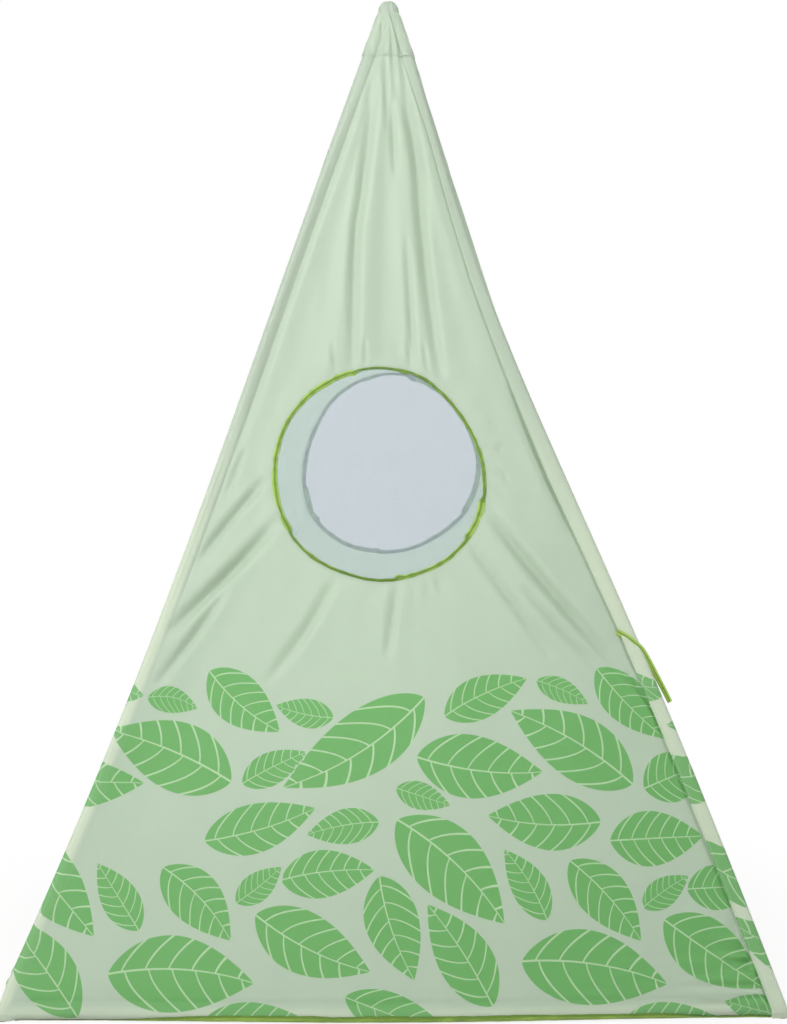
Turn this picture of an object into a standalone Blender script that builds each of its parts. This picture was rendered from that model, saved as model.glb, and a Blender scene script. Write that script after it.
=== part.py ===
"""Play tent: a square, pyramid-shaped children's tepee.

Four jointed corner poles stand in cloth sleeves and plug into a hub under the closed tip. Jointed base rods run
in the hem between moulded corner connectors. Two walls carry a round mesh window, one wall is plain, and the
fourth has a tent door whose two flaps fold outwards from a slit. Metres, +Z up, the floor at Z = 0, the
photographed window wall facing -Y and the door wall facing +X.
"""

import bisect
import math

import bmesh
import bpy
from mathutils import Matrix, Vector

# Overall size: outside the corner sleeves at the floor, and floor to tip
BASE_WIDTH = 1.185
HEIGHT = 1.62

# Cloth, and the small gaps left where pieces meet
CLOTH = 0.0012
SEWN_GAP = 0.0004
FIT_GAP = 0.0003

# Tubes of the frame
POLE_DIAMETER = 0.014
POLE_WALL = 0.0015
POLE_SPIGOT = 0.035
ROD_SPIGOT = 0.035
ROD_BOW = 0.019
POLE_SECTIONS = ("lower", "middle", "upper")

# How far each corner pole bows in, and the height share where it does so most, from the front left corner round.
# The last value is how gently a pole leaves its plugs, from 1 for a plain arc.
POLE_BOW = (0.024, 0.037, 0.030, 0.030)
BOW_PEAK = (0.355, 0.68, 0.50, 0.50)
BOW_EASE = 1.5

# Corner connectors and the hub at the tip
FOOT_RADIUS = 0.0085
CONNECTOR_ARM = 0.014
CONNECTOR_SPIGOT = 0.026
HUB_SPIGOT = 0.022
HUB_SKIRT = 0.004
TIP_DOME = 0.014
CAP_HEIGHT = 0.085

# Round windows: outside width and rise of the binding up the slope, its height, and how far each sits off its
# wall's middle line
WINDOW_WIDTH = 0.347
WINDOW_RISE = 0.371
WINDOW_HEIGHT = 0.8165
WINDOW_SHIFT = {"front": -0.017, "back": -0.008}
BINDING_WIDTH = 0.009
BINDING_THICKNESS = 0.003
MESH_THICKNESS = 0.0008

# Door: height of the slit, half the spread of the fold lines at the hem, and the gaps round each flap
DOOR_HEIGHT = 0.95
DOOR_HALF_SPREAD = 0.42
FLAP_BOTTOM = 0.026
FLAP_HINGE_GAP = 0.0008
FLAP_SLIT_GAP = 0.0010
FLAP_TOP_TRIM = 0.012
FLAP_WAVE = 0.006

# Tape that binds the hem, as an arc under the hem sleeve, in degrees from straight out
HEM_TAPE_FROM = -90.0
HEM_TAPE_TO = -25.0

# Hem: how far its sleeve stops from the connectors' arms, and the height share over which the walls flare to it
HEM_END_GAP = 0.004
HEM_FLARE = 0.35

# Distances over which a wall's folds fade out at its sides and window, at the hem and at the cap's seam
FOLD_FADE_SIDE = 0.03
FOLD_FADE_HEM = 0.06
FOLD_FADE_TOP = 0.04

# Tie tape for the door, hanging from the seam beside the front right corner
TIE_DIAMETER = 0.003
TIE_ROUTE = (
    (0.3569, -0.3874, 0.5603),
    (0.3647, -0.3889, 0.5565),
    (0.3739, -0.3911, 0.5511),
    (0.3846, -0.3947, 0.5428),
    (0.3955, -0.3961, 0.5327),
    (0.4062, -0.3993, 0.5148),
    (0.4157, -0.4037, 0.4963),
    (0.4227, -0.4077, 0.4825),
    (0.4293, -0.4119, 0.4696),
    (0.4372, -0.4179, 0.4530),
)

# Corners in order round the tent, and the wall that starts at each one, seen from outside
CORNERS = (("front_left", -1, -1), ("front_right", 1, -1), ("back_right", 1, 1), ("back_left", -1, 1))
WALLS = ("front", "right", "back", "left")
DOOR_WALL = WALLS.index("right")

# Faces round a tube and steps along it
TUBE_SIDES = 8
SLEEVE_SIDES = 10
SECTION_STEPS = 4
RING_STEPS = 48

# Sizes that follow from the ones above
pole_radius = POLE_DIAMETER / 2
pole_bore = pole_radius - POLE_WALL
spigot_radius = pole_bore * math.cos(math.pi / TUBE_SIDES) - FIT_GAP
sleeve_radius = (pole_radius + FIT_GAP) / math.cos(math.pi / SLEEVE_SIDES) + CLOTH
hem_tape_radius = sleeve_radius + SEWN_GAP + CLOTH
rod_height = hem_tape_radius
corner_reach = BASE_WIDTH / 2 - sleeve_radius
edge_inset = math.sqrt(sleeve_radius**2 - (sleeve_radius - CLOTH) ** 2) + SEWN_GAP
wall_lean = math.atan(corner_reach / HEIGHT)
corner_lean = math.atan(corner_reach * math.sqrt(2) / HEIGHT)
hub_bottom = HEIGHT - TIP_DOME - HUB_SKIRT
pole_top_height = hub_bottom - FIT_GAP - pole_radius * math.sin(corner_lean)
hub_reach = pole_radius / math.cos(wall_lean) + FIT_GAP
cap_corner_radius = sleeve_radius / math.cos(wall_lean)
cap_seam_height = HEIGHT - CAP_HEIGHT
frame_rise = pole_top_height - rod_height
wall_slant = math.hypot(frame_rise, corner_reach - hub_reach)
pole_length = math.hypot(frame_rise, (corner_reach - hub_reach) * math.sqrt(2))
plug_reach = CONNECTOR_ARM + CONNECTOR_SPIGOT
hem_reach = corner_reach - CONNECTOR_ARM - HEM_END_GAP


def clear_scene():
    """Remove every object, so that the script can run again in the same file."""
    for old in list(bpy.data.objects):
        bpy.data.objects.remove(old, do_unlink=True)


def make_collection(name):
    """A collection of its own in the scene."""
    collection = bpy.data.collections.new(name)
    bpy.context.scene.collection.children.link(collection)
    return collection


def make_material(name, colour, roughness):
    """A plain Principled finish."""
    material = bpy.data.materials.new(name)
    material.use_nodes = True
    shader = material.node_tree.nodes["Principled BSDF"]
    shader.inputs["Base Color"].default_value = (*colour, 1.0)
    shader.inputs["Roughness"].default_value = roughness
    shader.inputs["Metallic"].default_value = 0.0
    return material


clear_scene()
tent = make_collection("play_tent")
cutters = make_collection("cutters")

MINT_CLOTH = make_material("mint_polyester", (0.55, 0.68, 0.52), 0.55)
LIME_CLOTH = make_material("lime_polyester", (0.29, 0.45, 0.13), 0.55)
WINDOW_NET = make_material("white_window_mesh", (0.62, 0.68, 0.73), 0.60)
POLE_PLASTIC = make_material("white_plastic_tube", (0.70, 0.70, 0.68), 0.40)
DARK_PLASTIC = make_material("dark_grey_plastic", (0.05, 0.05, 0.05), 0.45)


def add_object(name, mesh, material, sharp_angle=40.0):
    """One sub-part of the tent from a mesh, shaded smooth except over sharp edges."""
    mesh.materials.clear()
    mesh.materials.append(material)
    mesh.shade_smooth()
    mesh.set_sharp_from_angle(angle=math.radians(sharp_angle))
    item = bpy.data.objects.new(name, mesh)
    tent.objects.link(item)
    return item


def thicken(item, thickness):
    """Give an open surface its thickness on the inner side."""
    shell = item.modifiers.new("cloth", "SOLIDIFY")
    shell.thickness = thickness
    shell.offset = -1.0


def grid_mesh(name, rows):
    """An open surface through rows of points. A row runs right and the rows run up, seen from outside."""
    mesh = bmesh.new()
    lines = [[mesh.verts.new(point) for point in row] for row in rows]
    for lower, upper in zip(lines, lines[1:]):
        for k in range(len(lower) - 1):
            mesh.faces.new((lower[k], lower[k + 1], upper[k + 1], upper[k]))
    bmesh.ops.remove_doubles(mesh, verts=mesh.verts, dist=1e-6)
    data = bpy.data.meshes.new(name)
    mesh.to_mesh(data)
    mesh.free()
    return data


def tube_mesh(name, points, radii, sides):
    """An open tube round a line of points, its radius given at each point."""
    curve = bpy.data.curves.new(name, "CURVE")
    curve.dimensions = "3D"
    curve.twist_mode = "Z_UP"
    curve.bevel_depth = 1.0
    curve.bevel_resolution = sides // 2 - 2
    spline = curve.splines.new("POLY")
    spline.points.add(len(points) - 1)
    for knot, point, radius in zip(spline.points, points, radii):
        knot.co = (*point, 1.0)
        knot.radius = radius
    holder = bpy.data.objects.new(name, curve)
    tent.objects.link(holder)
    bpy.context.view_layer.update()
    evaluated = holder.evaluated_get(bpy.context.evaluated_depsgraph_get())
    data = bpy.data.meshes.new_from_object(evaluated)
    bpy.data.objects.remove(holder, do_unlink=True)
    data.name = name
    return data


def cylinder_mesh(name, start, end, radius, sides):
    """A closed cylinder between two points."""
    mesh = bmesh.new()
    run = end - start
    turn = Vector((0, 0, 1)).rotation_difference(run).to_matrix().to_4x4()
    place = Matrix.Translation((start + end) / 2) @ turn
    bmesh.ops.create_cone(
        mesh, cap_ends=True, segments=sides, radius1=radius, radius2=radius, depth=run.length, matrix=place
    )
    data = bpy.data.meshes.new(name)
    mesh.to_mesh(data)
    mesh.free()
    return data


def fuse(name, meshes, material):
    """One solid from several closed meshes that overlap, by Boolean union."""
    body = bpy.data.objects.new(name, meshes[0])
    tent.objects.link(body)
    helpers = []
    for number, extra in enumerate(meshes[1:]):
        helper = bpy.data.objects.new(f"{name}_join_{number}", extra)
        cutters.objects.link(helper)
        union = body.modifiers.new(f"join_{number}", "BOOLEAN")
        union.operation = "UNION"
        union.solver = "EXACT"
        union.object = helper
        helpers.append(helper)
    bpy.context.view_layer.update()
    evaluated = body.evaluated_get(bpy.context.evaluated_depsgraph_get())
    data = bpy.data.meshes.new_from_object(evaluated)
    for used in [body, *helpers]:
        bpy.data.objects.remove(used, do_unlink=True)
    data.name = name
    return add_object(name, data, material)


def smooth_step(edge, value):
    """0 at 0 and below, 1 at the edge and above, with level ends."""
    share = min(max(value / edge, 0.0), 1.0)
    return share * share * (3 - 2 * share)


def share_steps(low, high, count):
    """Even steps from low to high."""
    return [low + (high - low) * step / count for step in range(count + 1)]


# Height shares where a pole's tubes meet, and the knots between which every pole and its cloth run straight
plug_share = plug_reach / pole_length
hub_share = 1 - HUB_SPIGOT / pole_length
pole_joints = share_steps(CONNECTOR_ARM / pole_length, 1.0, len(POLE_SECTIONS))
pole_ends = [plug_share, *pole_joints[1:-1], hub_share]
pole_knots = [0.0, plug_share]
for low_end, high_end in zip(pole_ends, pole_ends[1:]):
    pole_knots += share_steps(low_end, high_end, SECTION_STEPS)[1:]
pole_knots.append(1.0)

# The same for a base rod, as distances along its wall
rod_knots = share_steps(plug_reach - corner_reach, 0.0, SECTION_STEPS)
rod_knots += share_steps(0.0, corner_reach - plug_reach, SECTION_STEPS)[1:]


def bracket(knots, value):
    """The two knots round a value and its share of the way between them."""
    number = min(max(bisect.bisect_right(knots, value) - 1, 0), len(knots) - 2)
    low, high = knots[number], knots[number + 1]
    return low, high, (value - low) / (high - low)


def steps_between(knots, low, high):
    """Low and high with every knot that lies between them."""
    return [low, *(knot for knot in knots if low + 1e-6 < knot < high - 1e-6), high]


def bowed_point(corner, share):
    """Point on a corner pole's bowed axis, straight where it holds a plug at each end."""
    _, x, y = CORNERS[corner % 4]
    foot = Vector((x * corner_reach, y * corner_reach, rod_height))
    top = Vector((x * hub_reach, y * hub_reach, pole_top_height))
    run = (top - foot).normalized()
    inward = Vector((-x, -y, 0)).normalized()
    inward = (inward - run * inward.dot(run)).normalized()
    power = math.log(0.5) / math.log(BOW_PEAK[corner % 4])
    free = min(max((share - plug_share) / (hub_share - plug_share), 0.0), 1.0)
    bow = POLE_BOW[corner % 4] * max(math.sin(math.pi * free**power), 0.0) ** BOW_EASE
    return foot.lerp(top, share) + inward * bow


def pole_point(corner, share):
    """Point on a corner pole's axis, from 0 at its foot to 1 at its top, straight between knots."""
    low, high, between = bracket(pole_knots, share)
    return bowed_point(corner, low).lerp(bowed_point(corner, high), between)


def wall_turn(wall):
    """Turn about Z that brings the front wall to this wall."""
    return Matrix.Rotation(math.pi / 2 * wall, 4, "Z")


def hem_bow(along):
    """How far a base rod bows out, at a distance along the wall from its middle, straight between knots."""
    if abs(along) >= rod_knots[-1]:
        return 0.0
    low, high, between = bracket(rod_knots, along)
    ends = [math.cos(math.pi / 2 * knot / rod_knots[-1]) ** 2 for knot in (low, high)]
    return ROD_BOW * (ends[0] + (ends[1] - ends[0]) * between)


def rod_point(along, drop=0.0, out=0.0):
    """Point near the front wall's base rod: drop below its axis and out from it."""
    return Vector((along, -corner_reach - hem_bow(along) - out, rod_height - drop))


def wall_normal(wall, share):
    """Outward normal of a wall at a height share."""
    left = pole_point(wall, share)
    right = pole_point(wall + 1, share)
    step = 0.01
    above = pole_point(wall, share + step) + pole_point(wall + 1, share + step)
    below = pole_point(wall, share - step) + pole_point(wall + 1, share - step)
    return (right - left).cross(above - below).normalized()


def wall_span(wall, share):
    """Ends of the cloth at a height share, on the poles' level, seen from outside left to right."""
    left = pole_point(wall, share)
    right = pole_point(wall + 1, share)
    inset = (right - left).normalized() * edge_inset
    return left + inset, right - inset


def wall_point(wall, across, share, lift=0.0):
    """Point on a wall's outer face: across runs from -1 at the left pole to 1 at the right one."""
    left, right = wall_span(wall, share)
    point = left.lerp(right, (across + 1) / 2)
    along = (point - (left + right) / 2).length
    outside = wall_turn(wall) @ Vector((0, -1, 0))
    flare = hem_bow(along) * math.cos(math.pi / 2 * min(share / HEM_FLARE, 1.0)) ** 2
    return point + wall_normal(wall, share) * (sleeve_radius + lift) + outside * flare


bottom_share = edge_inset / wall_slant
cap_share = (cap_seam_height - sleeve_radius * math.sin(wall_lean) - rod_height) / frame_rise
sleeve_top_share = (cap_seam_height - sleeve_radius * math.sin(corner_lean) - rod_height) / frame_rise
window_share = (WINDOW_HEIGHT - rod_height) / frame_rise
door_share = (DOOR_HEIGHT - rod_height) / frame_rise

# Main folds of each wall, from the photograph on the front one: two ends as (along, height), half width, depth.
# The cloth pulls in long folds from the tip to the window, and from the window down to the hem's corners.
FOLDS = {
    "front": (
        ((-0.020, 1.50), (-0.050, 1.00), 0.030, -0.008),
        ((0.016, 1.50), (0.085, 1.00), 0.032, -0.009),
        ((0.000, 1.45), (0.020, 1.00), 0.026, 0.006),
        ((-0.170, 0.720), (-0.400, 0.420), 0.050, -0.009),
        ((0.150, 0.720), (0.360, 0.420), 0.050, -0.009),
        ((-0.080, 0.600), (-0.200, 0.300), 0.060, 0.006),
        ((0.080, 0.600), (0.210, 0.300), 0.060, 0.006),
    ),
    "back": (
        ((0.018, 1.50), (0.060, 1.00), 0.032, -0.008),
        ((-0.018, 1.50), (-0.070, 1.00), 0.032, -0.008),
        ((-0.150, 0.700), (-0.360, 0.380), 0.060, -0.009),
        ((0.150, 0.700), (0.380, 0.400), 0.060, -0.008),
    ),
    "left": (
        ((0.010, 1.45), (0.120, 0.50), 0.050, -0.009),
        ((-0.020, 1.45), (-0.160, 0.45), 0.050, -0.009),
        ((0.000, 1.20), (-0.010, 0.30), 0.060, 0.007),
    ),
    "right": (
        ((0.012, 1.50), (0.030, 1.02), 0.030, -0.007),
        ((-0.020, 1.50), (-0.070, 1.02), 0.030, -0.007),
    ),
}


def fold_lift(wall, along, height, window):
    """How far the folds lift the cloth off the plain wall, nothing near its edges or round the window."""
    lift = 0.0
    here = Vector((along, height))
    for start, end, half_width, depth in FOLDS[WALLS[wall]]:
        first = Vector(start)
        run = Vector(end) - first
        share = (here - first).dot(run) / run.length_squared
        if 0.0 < share < 1.0:
            distance = (here - first - run * share).length / half_width
            if distance < 1.0:
                lift += depth * (1 - distance**2) ** 2 * math.sin(math.pi * share) ** 0.6
    if window:
        up_slope = (height - window[1]) / math.cos(wall_lean)
        from_window = math.hypot(along - window[0], up_slope * WINDOW_WIDTH / WINDOW_RISE)
        lift *= smooth_step(FOLD_FADE_SIDE, from_window - WINDOW_WIDTH / 2)
    return lift


def cloth_rows(wall, shares, columns, window=None):
    """Rows of points over a wall's outer face, with its folds."""
    rows = []
    for share in shares:
        left, right = wall_span(wall, share)
        half = (right - left).length / 2
        row = []
        for column in range(columns + 1):
            across = -1 + 2 * column / columns
            height = rod_height + frame_rise * share
            near_edge = smooth_step(FOLD_FADE_SIDE, (1 - abs(across)) * half)
            near_end = smooth_step(FOLD_FADE_HEM, (share - shares[0]) * wall_slant)
            near_end *= smooth_step(FOLD_FADE_TOP, (shares[-1] - share) * wall_slant)
            lift = fold_lift(wall, across * half, height, window) * near_edge * near_end
            row.append(wall_point(wall, across, share, lift))
        rows.append(row)
    return rows


def window_place(wall):
    """Place of a window, fitted to the cloth round it: Z is its outward normal, Y is stretched up the slope."""
    shift = WINDOW_SHIFT[WALLS[wall]]
    left, right = wall_span(wall, window_share)
    half = (right - left).length / 2
    rise = WINDOW_RISE / 2 / wall_slant
    east = wall_point(wall, (shift + WINDOW_WIDTH / 2) / half, window_share)
    west = wall_point(wall, (shift - WINDOW_WIDTH / 2) / half, window_share)
    top = wall_point(wall, shift / half, window_share + rise)
    bottom = wall_point(wall, shift / half, window_share - rise)
    across = (east - west).normalized()
    normal = across.cross(top - bottom).normalized()
    up = normal.cross(across)
    turn = Matrix((across, up, normal)).transposed().to_4x4()
    centre = (east + west + top + bottom) / 4 - normal * CLOTH / 2
    return Matrix.Translation(centre) @ turn @ Matrix.Diagonal((1, WINDOW_RISE / WINDOW_WIDTH, 1, 1))


def make_wall(name, wall, rows, columns, window=False):
    """A whole wall of cloth, with a round hole for its window."""
    middle = (WINDOW_SHIFT[WALLS[wall]], WINDOW_HEIGHT) if window else None
    shares = share_steps(bottom_share, cap_share, rows)
    item = add_object(name, grid_mesh(name, cloth_rows(wall, shares, columns, middle)), MINT_CLOTH)
    thicken(item, CLOTH)
    if window:
        mesh = bmesh.new()
        hole_radius = WINDOW_WIDTH / 2 + SEWN_GAP
        bmesh.ops.create_cone(
            mesh,
            cap_ends=True,
            segments=RING_STEPS,
            radius1=hole_radius,
            radius2=hole_radius,
            depth=hole_radius / 2,
            matrix=window_place(wall),
        )
        data = bpy.data.meshes.new(f"{name}_hole")
        mesh.to_mesh(data)
        mesh.free()
        cutter = bpy.data.objects.new(f"{name}_hole", data)
        cutter.hide_render = True
        cutter.display_type = "WIRE"
        cutters.objects.link(cutter)
        hole = item.modifiers.new("window", "BOOLEAN")
        hole.operation = "DIFFERENCE"
        hole.solver = "EXACT"
        hole.object = cutter
    return item


def make_window(wall):
    """The binding ring, turned from its flat section, and the disc of mesh inside it."""
    side = WALLS[wall]
    outer = WINDOW_WIDTH / 2
    inner = outer - BINDING_WIDTH
    half = BINDING_THICKNESS / 2
    section = ((outer, half), (outer, -half), (inner, -half), (inner, half))
    mesh = bmesh.new()
    corners = [mesh.verts.new((radius, 0, height)) for radius, height in section]
    for first, second in zip(corners, corners[1:] + corners[:1]):
        mesh.edges.new((first, second))
    data = bpy.data.meshes.new(f"window_binding_{side}")
    mesh.to_mesh(data)
    mesh.free()
    ring = bpy.data.objects.new(f"window_binding_{side}", data)
    data.materials.append(LIME_CLOTH)
    tent.objects.link(ring)
    ring.matrix_world = window_place(wall)
    turned = ring.modifiers.new("turned", "SCREW")
    turned.steps = RING_STEPS
    turned.render_steps = RING_STEPS
    turned.use_merge_vertices = True
    turned.merge_threshold = 1e-5
    net = bmesh.new()
    net_radius = inner - SEWN_GAP
    bmesh.ops.create_cone(
        net, cap_ends=True, segments=RING_STEPS, radius1=net_radius, radius2=net_radius, depth=MESH_THICKNESS
    )
    data = bpy.data.meshes.new(f"window_mesh_{side}")
    net.to_mesh(data)
    net.free()
    disc = add_object(f"window_mesh_{side}", data, WINDOW_NET)
    disc.matrix_world = window_place(wall)


def door_corner(sign):
    """Lower end of a flap's fold line, on the hem: sign is -1 at the left seen from outside, 1 at the right."""
    left, right = wall_span(DOOR_WALL, bottom_share)
    return wall_point(DOOR_WALL, sign * DOOR_HALF_SPREAD * 2 / (right - left).length, bottom_share)


def door_top():
    """Top of the door slit on the cloth's outer face."""
    return wall_point(DOOR_WALL, 0.0, door_share)


def make_door_wall():
    """The door wall: a header over the slit and a wing down each side, as far as the flaps' fold lines."""
    wing_rows = 10
    half_columns = 5
    shares = share_steps(bottom_share, door_share, wing_rows)
    rows = {-1: [], 1: []}
    for sign in (-1, 1):
        foot = door_corner(sign)
        for number, share in enumerate(shares):
            edge = wall_point(DOOR_WALL, sign, share)
            fold = foot.lerp(door_top(), number / wing_rows)
            line = [edge.lerp(fold, k / half_columns) for k in range(half_columns + 1)]
            rows[sign].append(line if sign < 0 else line[::-1])
    above = share_steps(door_share, cap_share, 8)
    header = cloth_rows(DOOR_WALL, above, 2 * half_columns)
    header[0] = rows[-1][-1] + rows[1][-1][1:]
    mesh = bmesh.new()
    for block in (rows[-1], rows[1], header):
        lines = [[mesh.verts.new(point) for point in row] for row in block]
        for lower, upper in zip(lines, lines[1:]):
            for k in range(len(lower) - 1):
                mesh.faces.new((lower[k], lower[k + 1], upper[k + 1], upper[k]))
    bmesh.ops.remove_doubles(mesh, verts=mesh.verts, dist=1e-6)
    data = bpy.data.meshes.new("door_panel")
    mesh.to_mesh(data)
    mesh.free()
    thicken(add_object("door_panel", data, MINT_CLOTH), CLOTH)


def make_flap(name, sign):
    """A door flap from its fold line to the slit, softly folded, its origin at the top of the fold line."""
    rows = 9
    columns = 5
    top = door_top()
    foot = door_corner(sign)
    middle = (door_corner(-1) + door_corner(1)) / 2
    to_slit = (middle - foot).normalized()
    outward = ((door_corner(1) - door_corner(-1)).cross(top - middle)).normalized()
    low = (FLAP_BOTTOM - foot.z) / (top.z - foot.z)
    high = 1 - FLAP_TOP_TRIM / (top - middle).length
    lines = []
    for share in share_steps(low, high, rows):
        hinge = foot.lerp(top, share) + to_slit * FLAP_HINGE_GAP
        slit = middle.lerp(top, share) - to_slit * FLAP_SLIT_GAP / 2
        line = []
        for k in range(columns + 1):
            across = k / columns
            wave = math.sin(math.pi * across) ** 2 * math.sin(2 * math.pi * across)
            depth = FLAP_WAVE * wave * smooth_step(0.25, share - low) * smooth_step(0.2, high - share)
            line.append(hinge.lerp(slit, across) + outward * depth - top)
        lines.append(line if sign < 0 else line[::-1])
    item = add_object(name, grid_mesh(name, lines), MINT_CLOTH)
    item.location = top
    thicken(item, CLOTH)


def tip_ring(height, reach, inset):
    """A rounded square round the four poles at one height, drawn in by inset and closing towards the tip."""
    points = []
    for corner, (_, x, y) in enumerate(CORNERS):
        start = math.atan2(y, x) - math.pi / 4
        for step in range(4):
            angle = start + math.pi / 2 * step / 3
            radius = cap_corner_radius - inset
            points.append((x * reach + radius * math.cos(angle), y * reach + radius * math.sin(angle), height))
    return points


def tip_rings(inset, low, low_reach):
    """Rings from the low one up the straight part and over the round tip."""
    shoulder = HEIGHT - TIP_DOME
    top_reach = hub_reach
    rings = [tip_ring(low, low_reach, inset), tip_ring(shoulder, top_reach, inset)]
    for angle in (35, 62):
        squeeze = math.cos(math.radians(angle))
        rise = (TIP_DOME - inset) * math.sin(math.radians(angle))
        ring = tip_ring(shoulder + rise, top_reach, inset)
        rings.append([(x * squeeze, y * squeeze, z) for x, y, z in ring])
    return rings, (0.0, 0.0, HEIGHT - inset)


def loft_mesh(name, rings, tip, closed_below):
    """A surface through rings of points that closes at a tip."""
    mesh = bmesh.new()
    lines = [[mesh.verts.new(point) for point in ring] for ring in rings]
    count = len(lines[0])
    for lower, upper in zip(lines, lines[1:]):
        for k in range(count):
            following = (k + 1) % count
            mesh.faces.new((lower[k], lower[following], upper[following], upper[k]))
    peak = mesh.verts.new(tip)
    for k in range(count):
        mesh.faces.new((lines[-1][k], lines[-1][(k + 1) % count], peak))
    if closed_below:
        mesh.faces.new(lines[0][::-1])
    data = bpy.data.meshes.new(name)
    mesh.to_mesh(data)
    mesh.free()
    return data


def pole_reach(height):
    """Distance of a straight pole's axis from the middle planes at a height."""
    share = (height - rod_height) / frame_rise
    return corner_reach + (hub_reach - corner_reach) * share


def make_tip():
    """The cloth cap over the tip, and the hub under it that holds the four poles together."""
    low = cap_seam_height + SEWN_GAP + CLOTH * math.sin(wall_lean)
    rings, tip = tip_rings(0.0, low, pole_reach(low))
    thicken(add_object("tip_cap", loft_mesh("tip_cap", rings, tip, False), MINT_CLOTH), CLOTH)
    rings, tip = tip_rings(CLOTH + 2 * FIT_GAP, hub_bottom, hub_reach)
    pieces = [loft_mesh("apex_hub", rings, tip, True)]
    for corner in range(4):
        top = pole_point(corner, 1.0)
        run = (top - pole_point(corner, 0.0)).normalized()
        inside = top + run * (hub_bottom + HUB_SKIRT / 2 - top.z) / run.z
        pieces.append(cylinder_mesh("hub_spigot", top - run * HUB_SPIGOT, inside, spigot_radius, TUBE_SIDES))
    fuse("apex_hub", pieces, DARK_PLASTIC)


def make_pole(corner):
    """The three tubes of a corner pole, each but the top one ending in a spigot inside the next."""
    gap = FIT_GAP / pole_length
    for number, section in enumerate(POLE_SECTIONS):
        low = pole_joints[number] + (gap if number else 0.0)
        high = pole_joints[number + 1]
        shares = steps_between(pole_knots, low, high)
        radii = [pole_radius] * len(shares)
        if number < len(POLE_SECTIONS) - 1:
            shares += [high + gap / 2, high + POLE_SPIGOT / pole_length]
            radii += [spigot_radius, spigot_radius]
        name = f"pole_{CORNERS[corner][0]}_{section}"
        points = [pole_point(corner, share) for share in shares]
        item = add_object(name, tube_mesh(name, points, radii, TUBE_SIDES), POLE_PLASTIC)
        thicken(item, POLE_WALL)


def make_pole_sleeve(corner):
    """The cloth sleeve that holds a corner pole, from above the connector to the cap's seam."""
    name = f"pole_sleeve_{CORNERS[corner][0]}"
    low = (CONNECTOR_ARM + 2 * sleeve_radius) / pole_length
    shares = steps_between(pole_knots, low, sleeve_top_share)
    points = [pole_point(corner, share) for share in shares]
    item = add_object(name, tube_mesh(name, points, [sleeve_radius] * len(points), SLEEVE_SIDES), MINT_CLOTH)
    thicken(item, CLOTH)


def make_base_side(wall):
    """One side of the base: its two rods, the hem sleeve round them and the tape that binds the hem."""
    side = WALLS[wall]
    turn = wall_turn(wall)
    end = corner_reach - CONNECTOR_ARM
    alongs = steps_between(rod_knots, -end, 0.0)
    radii = [pole_radius] * len(alongs) + [spigot_radius] * 2
    alongs += [FIT_GAP / 2, ROD_SPIGOT]
    plug = tube_mesh(f"base_rod_{side}_spigot", [turn @ rod_point(x) for x in alongs], radii, TUBE_SIDES)
    thicken(add_object(f"base_rod_{side}_spigot", plug, POLE_PLASTIC), POLE_WALL)
    alongs = steps_between(rod_knots, FIT_GAP, end)
    radii = [pole_radius] * len(alongs)
    socket = tube_mesh(f"base_rod_{side}_socket", [turn @ rod_point(x) for x in alongs], radii, TUBE_SIDES)
    thicken(add_object(f"base_rod_{side}_socket", socket, POLE_PLASTIC), POLE_WALL)
    alongs = steps_between(rod_knots, -hem_reach, hem_reach)
    points = [turn @ rod_point(x) for x in alongs]
    sleeve = tube_mesh(f"hem_sleeve_{side}", points, [sleeve_radius] * len(points), SLEEVE_SIDES)
    thicken(add_object(f"hem_sleeve_{side}", sleeve, MINT_CLOTH), CLOTH)
    rows = []
    for angle in share_steps(math.radians(HEM_TAPE_FROM), math.radians(HEM_TAPE_TO), 3):
        drop = -hem_tape_radius * math.sin(angle)
        out = hem_tape_radius * math.cos(angle)
        rows.append([turn @ rod_point(x, drop, out) for x in alongs])
    tape = grid_mesh(f"hem_binding_{side}", rows)
    thicken(add_object(f"hem_binding_{side}", tape, LIME_CLOTH), CLOTH)


def make_groundsheet():
    """The sewn-in floor: a flat sheet that ends under the base rods and is cut off at the corners."""
    curve = bpy.data.curves.new("groundsheet", "CURVE")
    curve.dimensions = "2D"
    curve.fill_mode = "BOTH"
    curve.extrude = CLOTH / 2
    alongs = steps_between(rod_knots, -hem_reach, hem_reach)
    outline = [wall_turn(wall) @ rod_point(x, 0.0, -SEWN_GAP) for wall in range(4) for x in alongs]
    spline = curve.splines.new("POLY")
    spline.use_cyclic_u = True
    spline.points.add(len(outline) - 1)
    for knot, point in zip(spline.points, outline):
        knot.co = (point.x, point.y, 0.0, 1.0)
    item = bpy.data.objects.new("groundsheet", curve)
    item.location.z = CLOTH / 2
    curve.materials.append(LIME_CLOTH)
    tent.objects.link(item)


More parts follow.
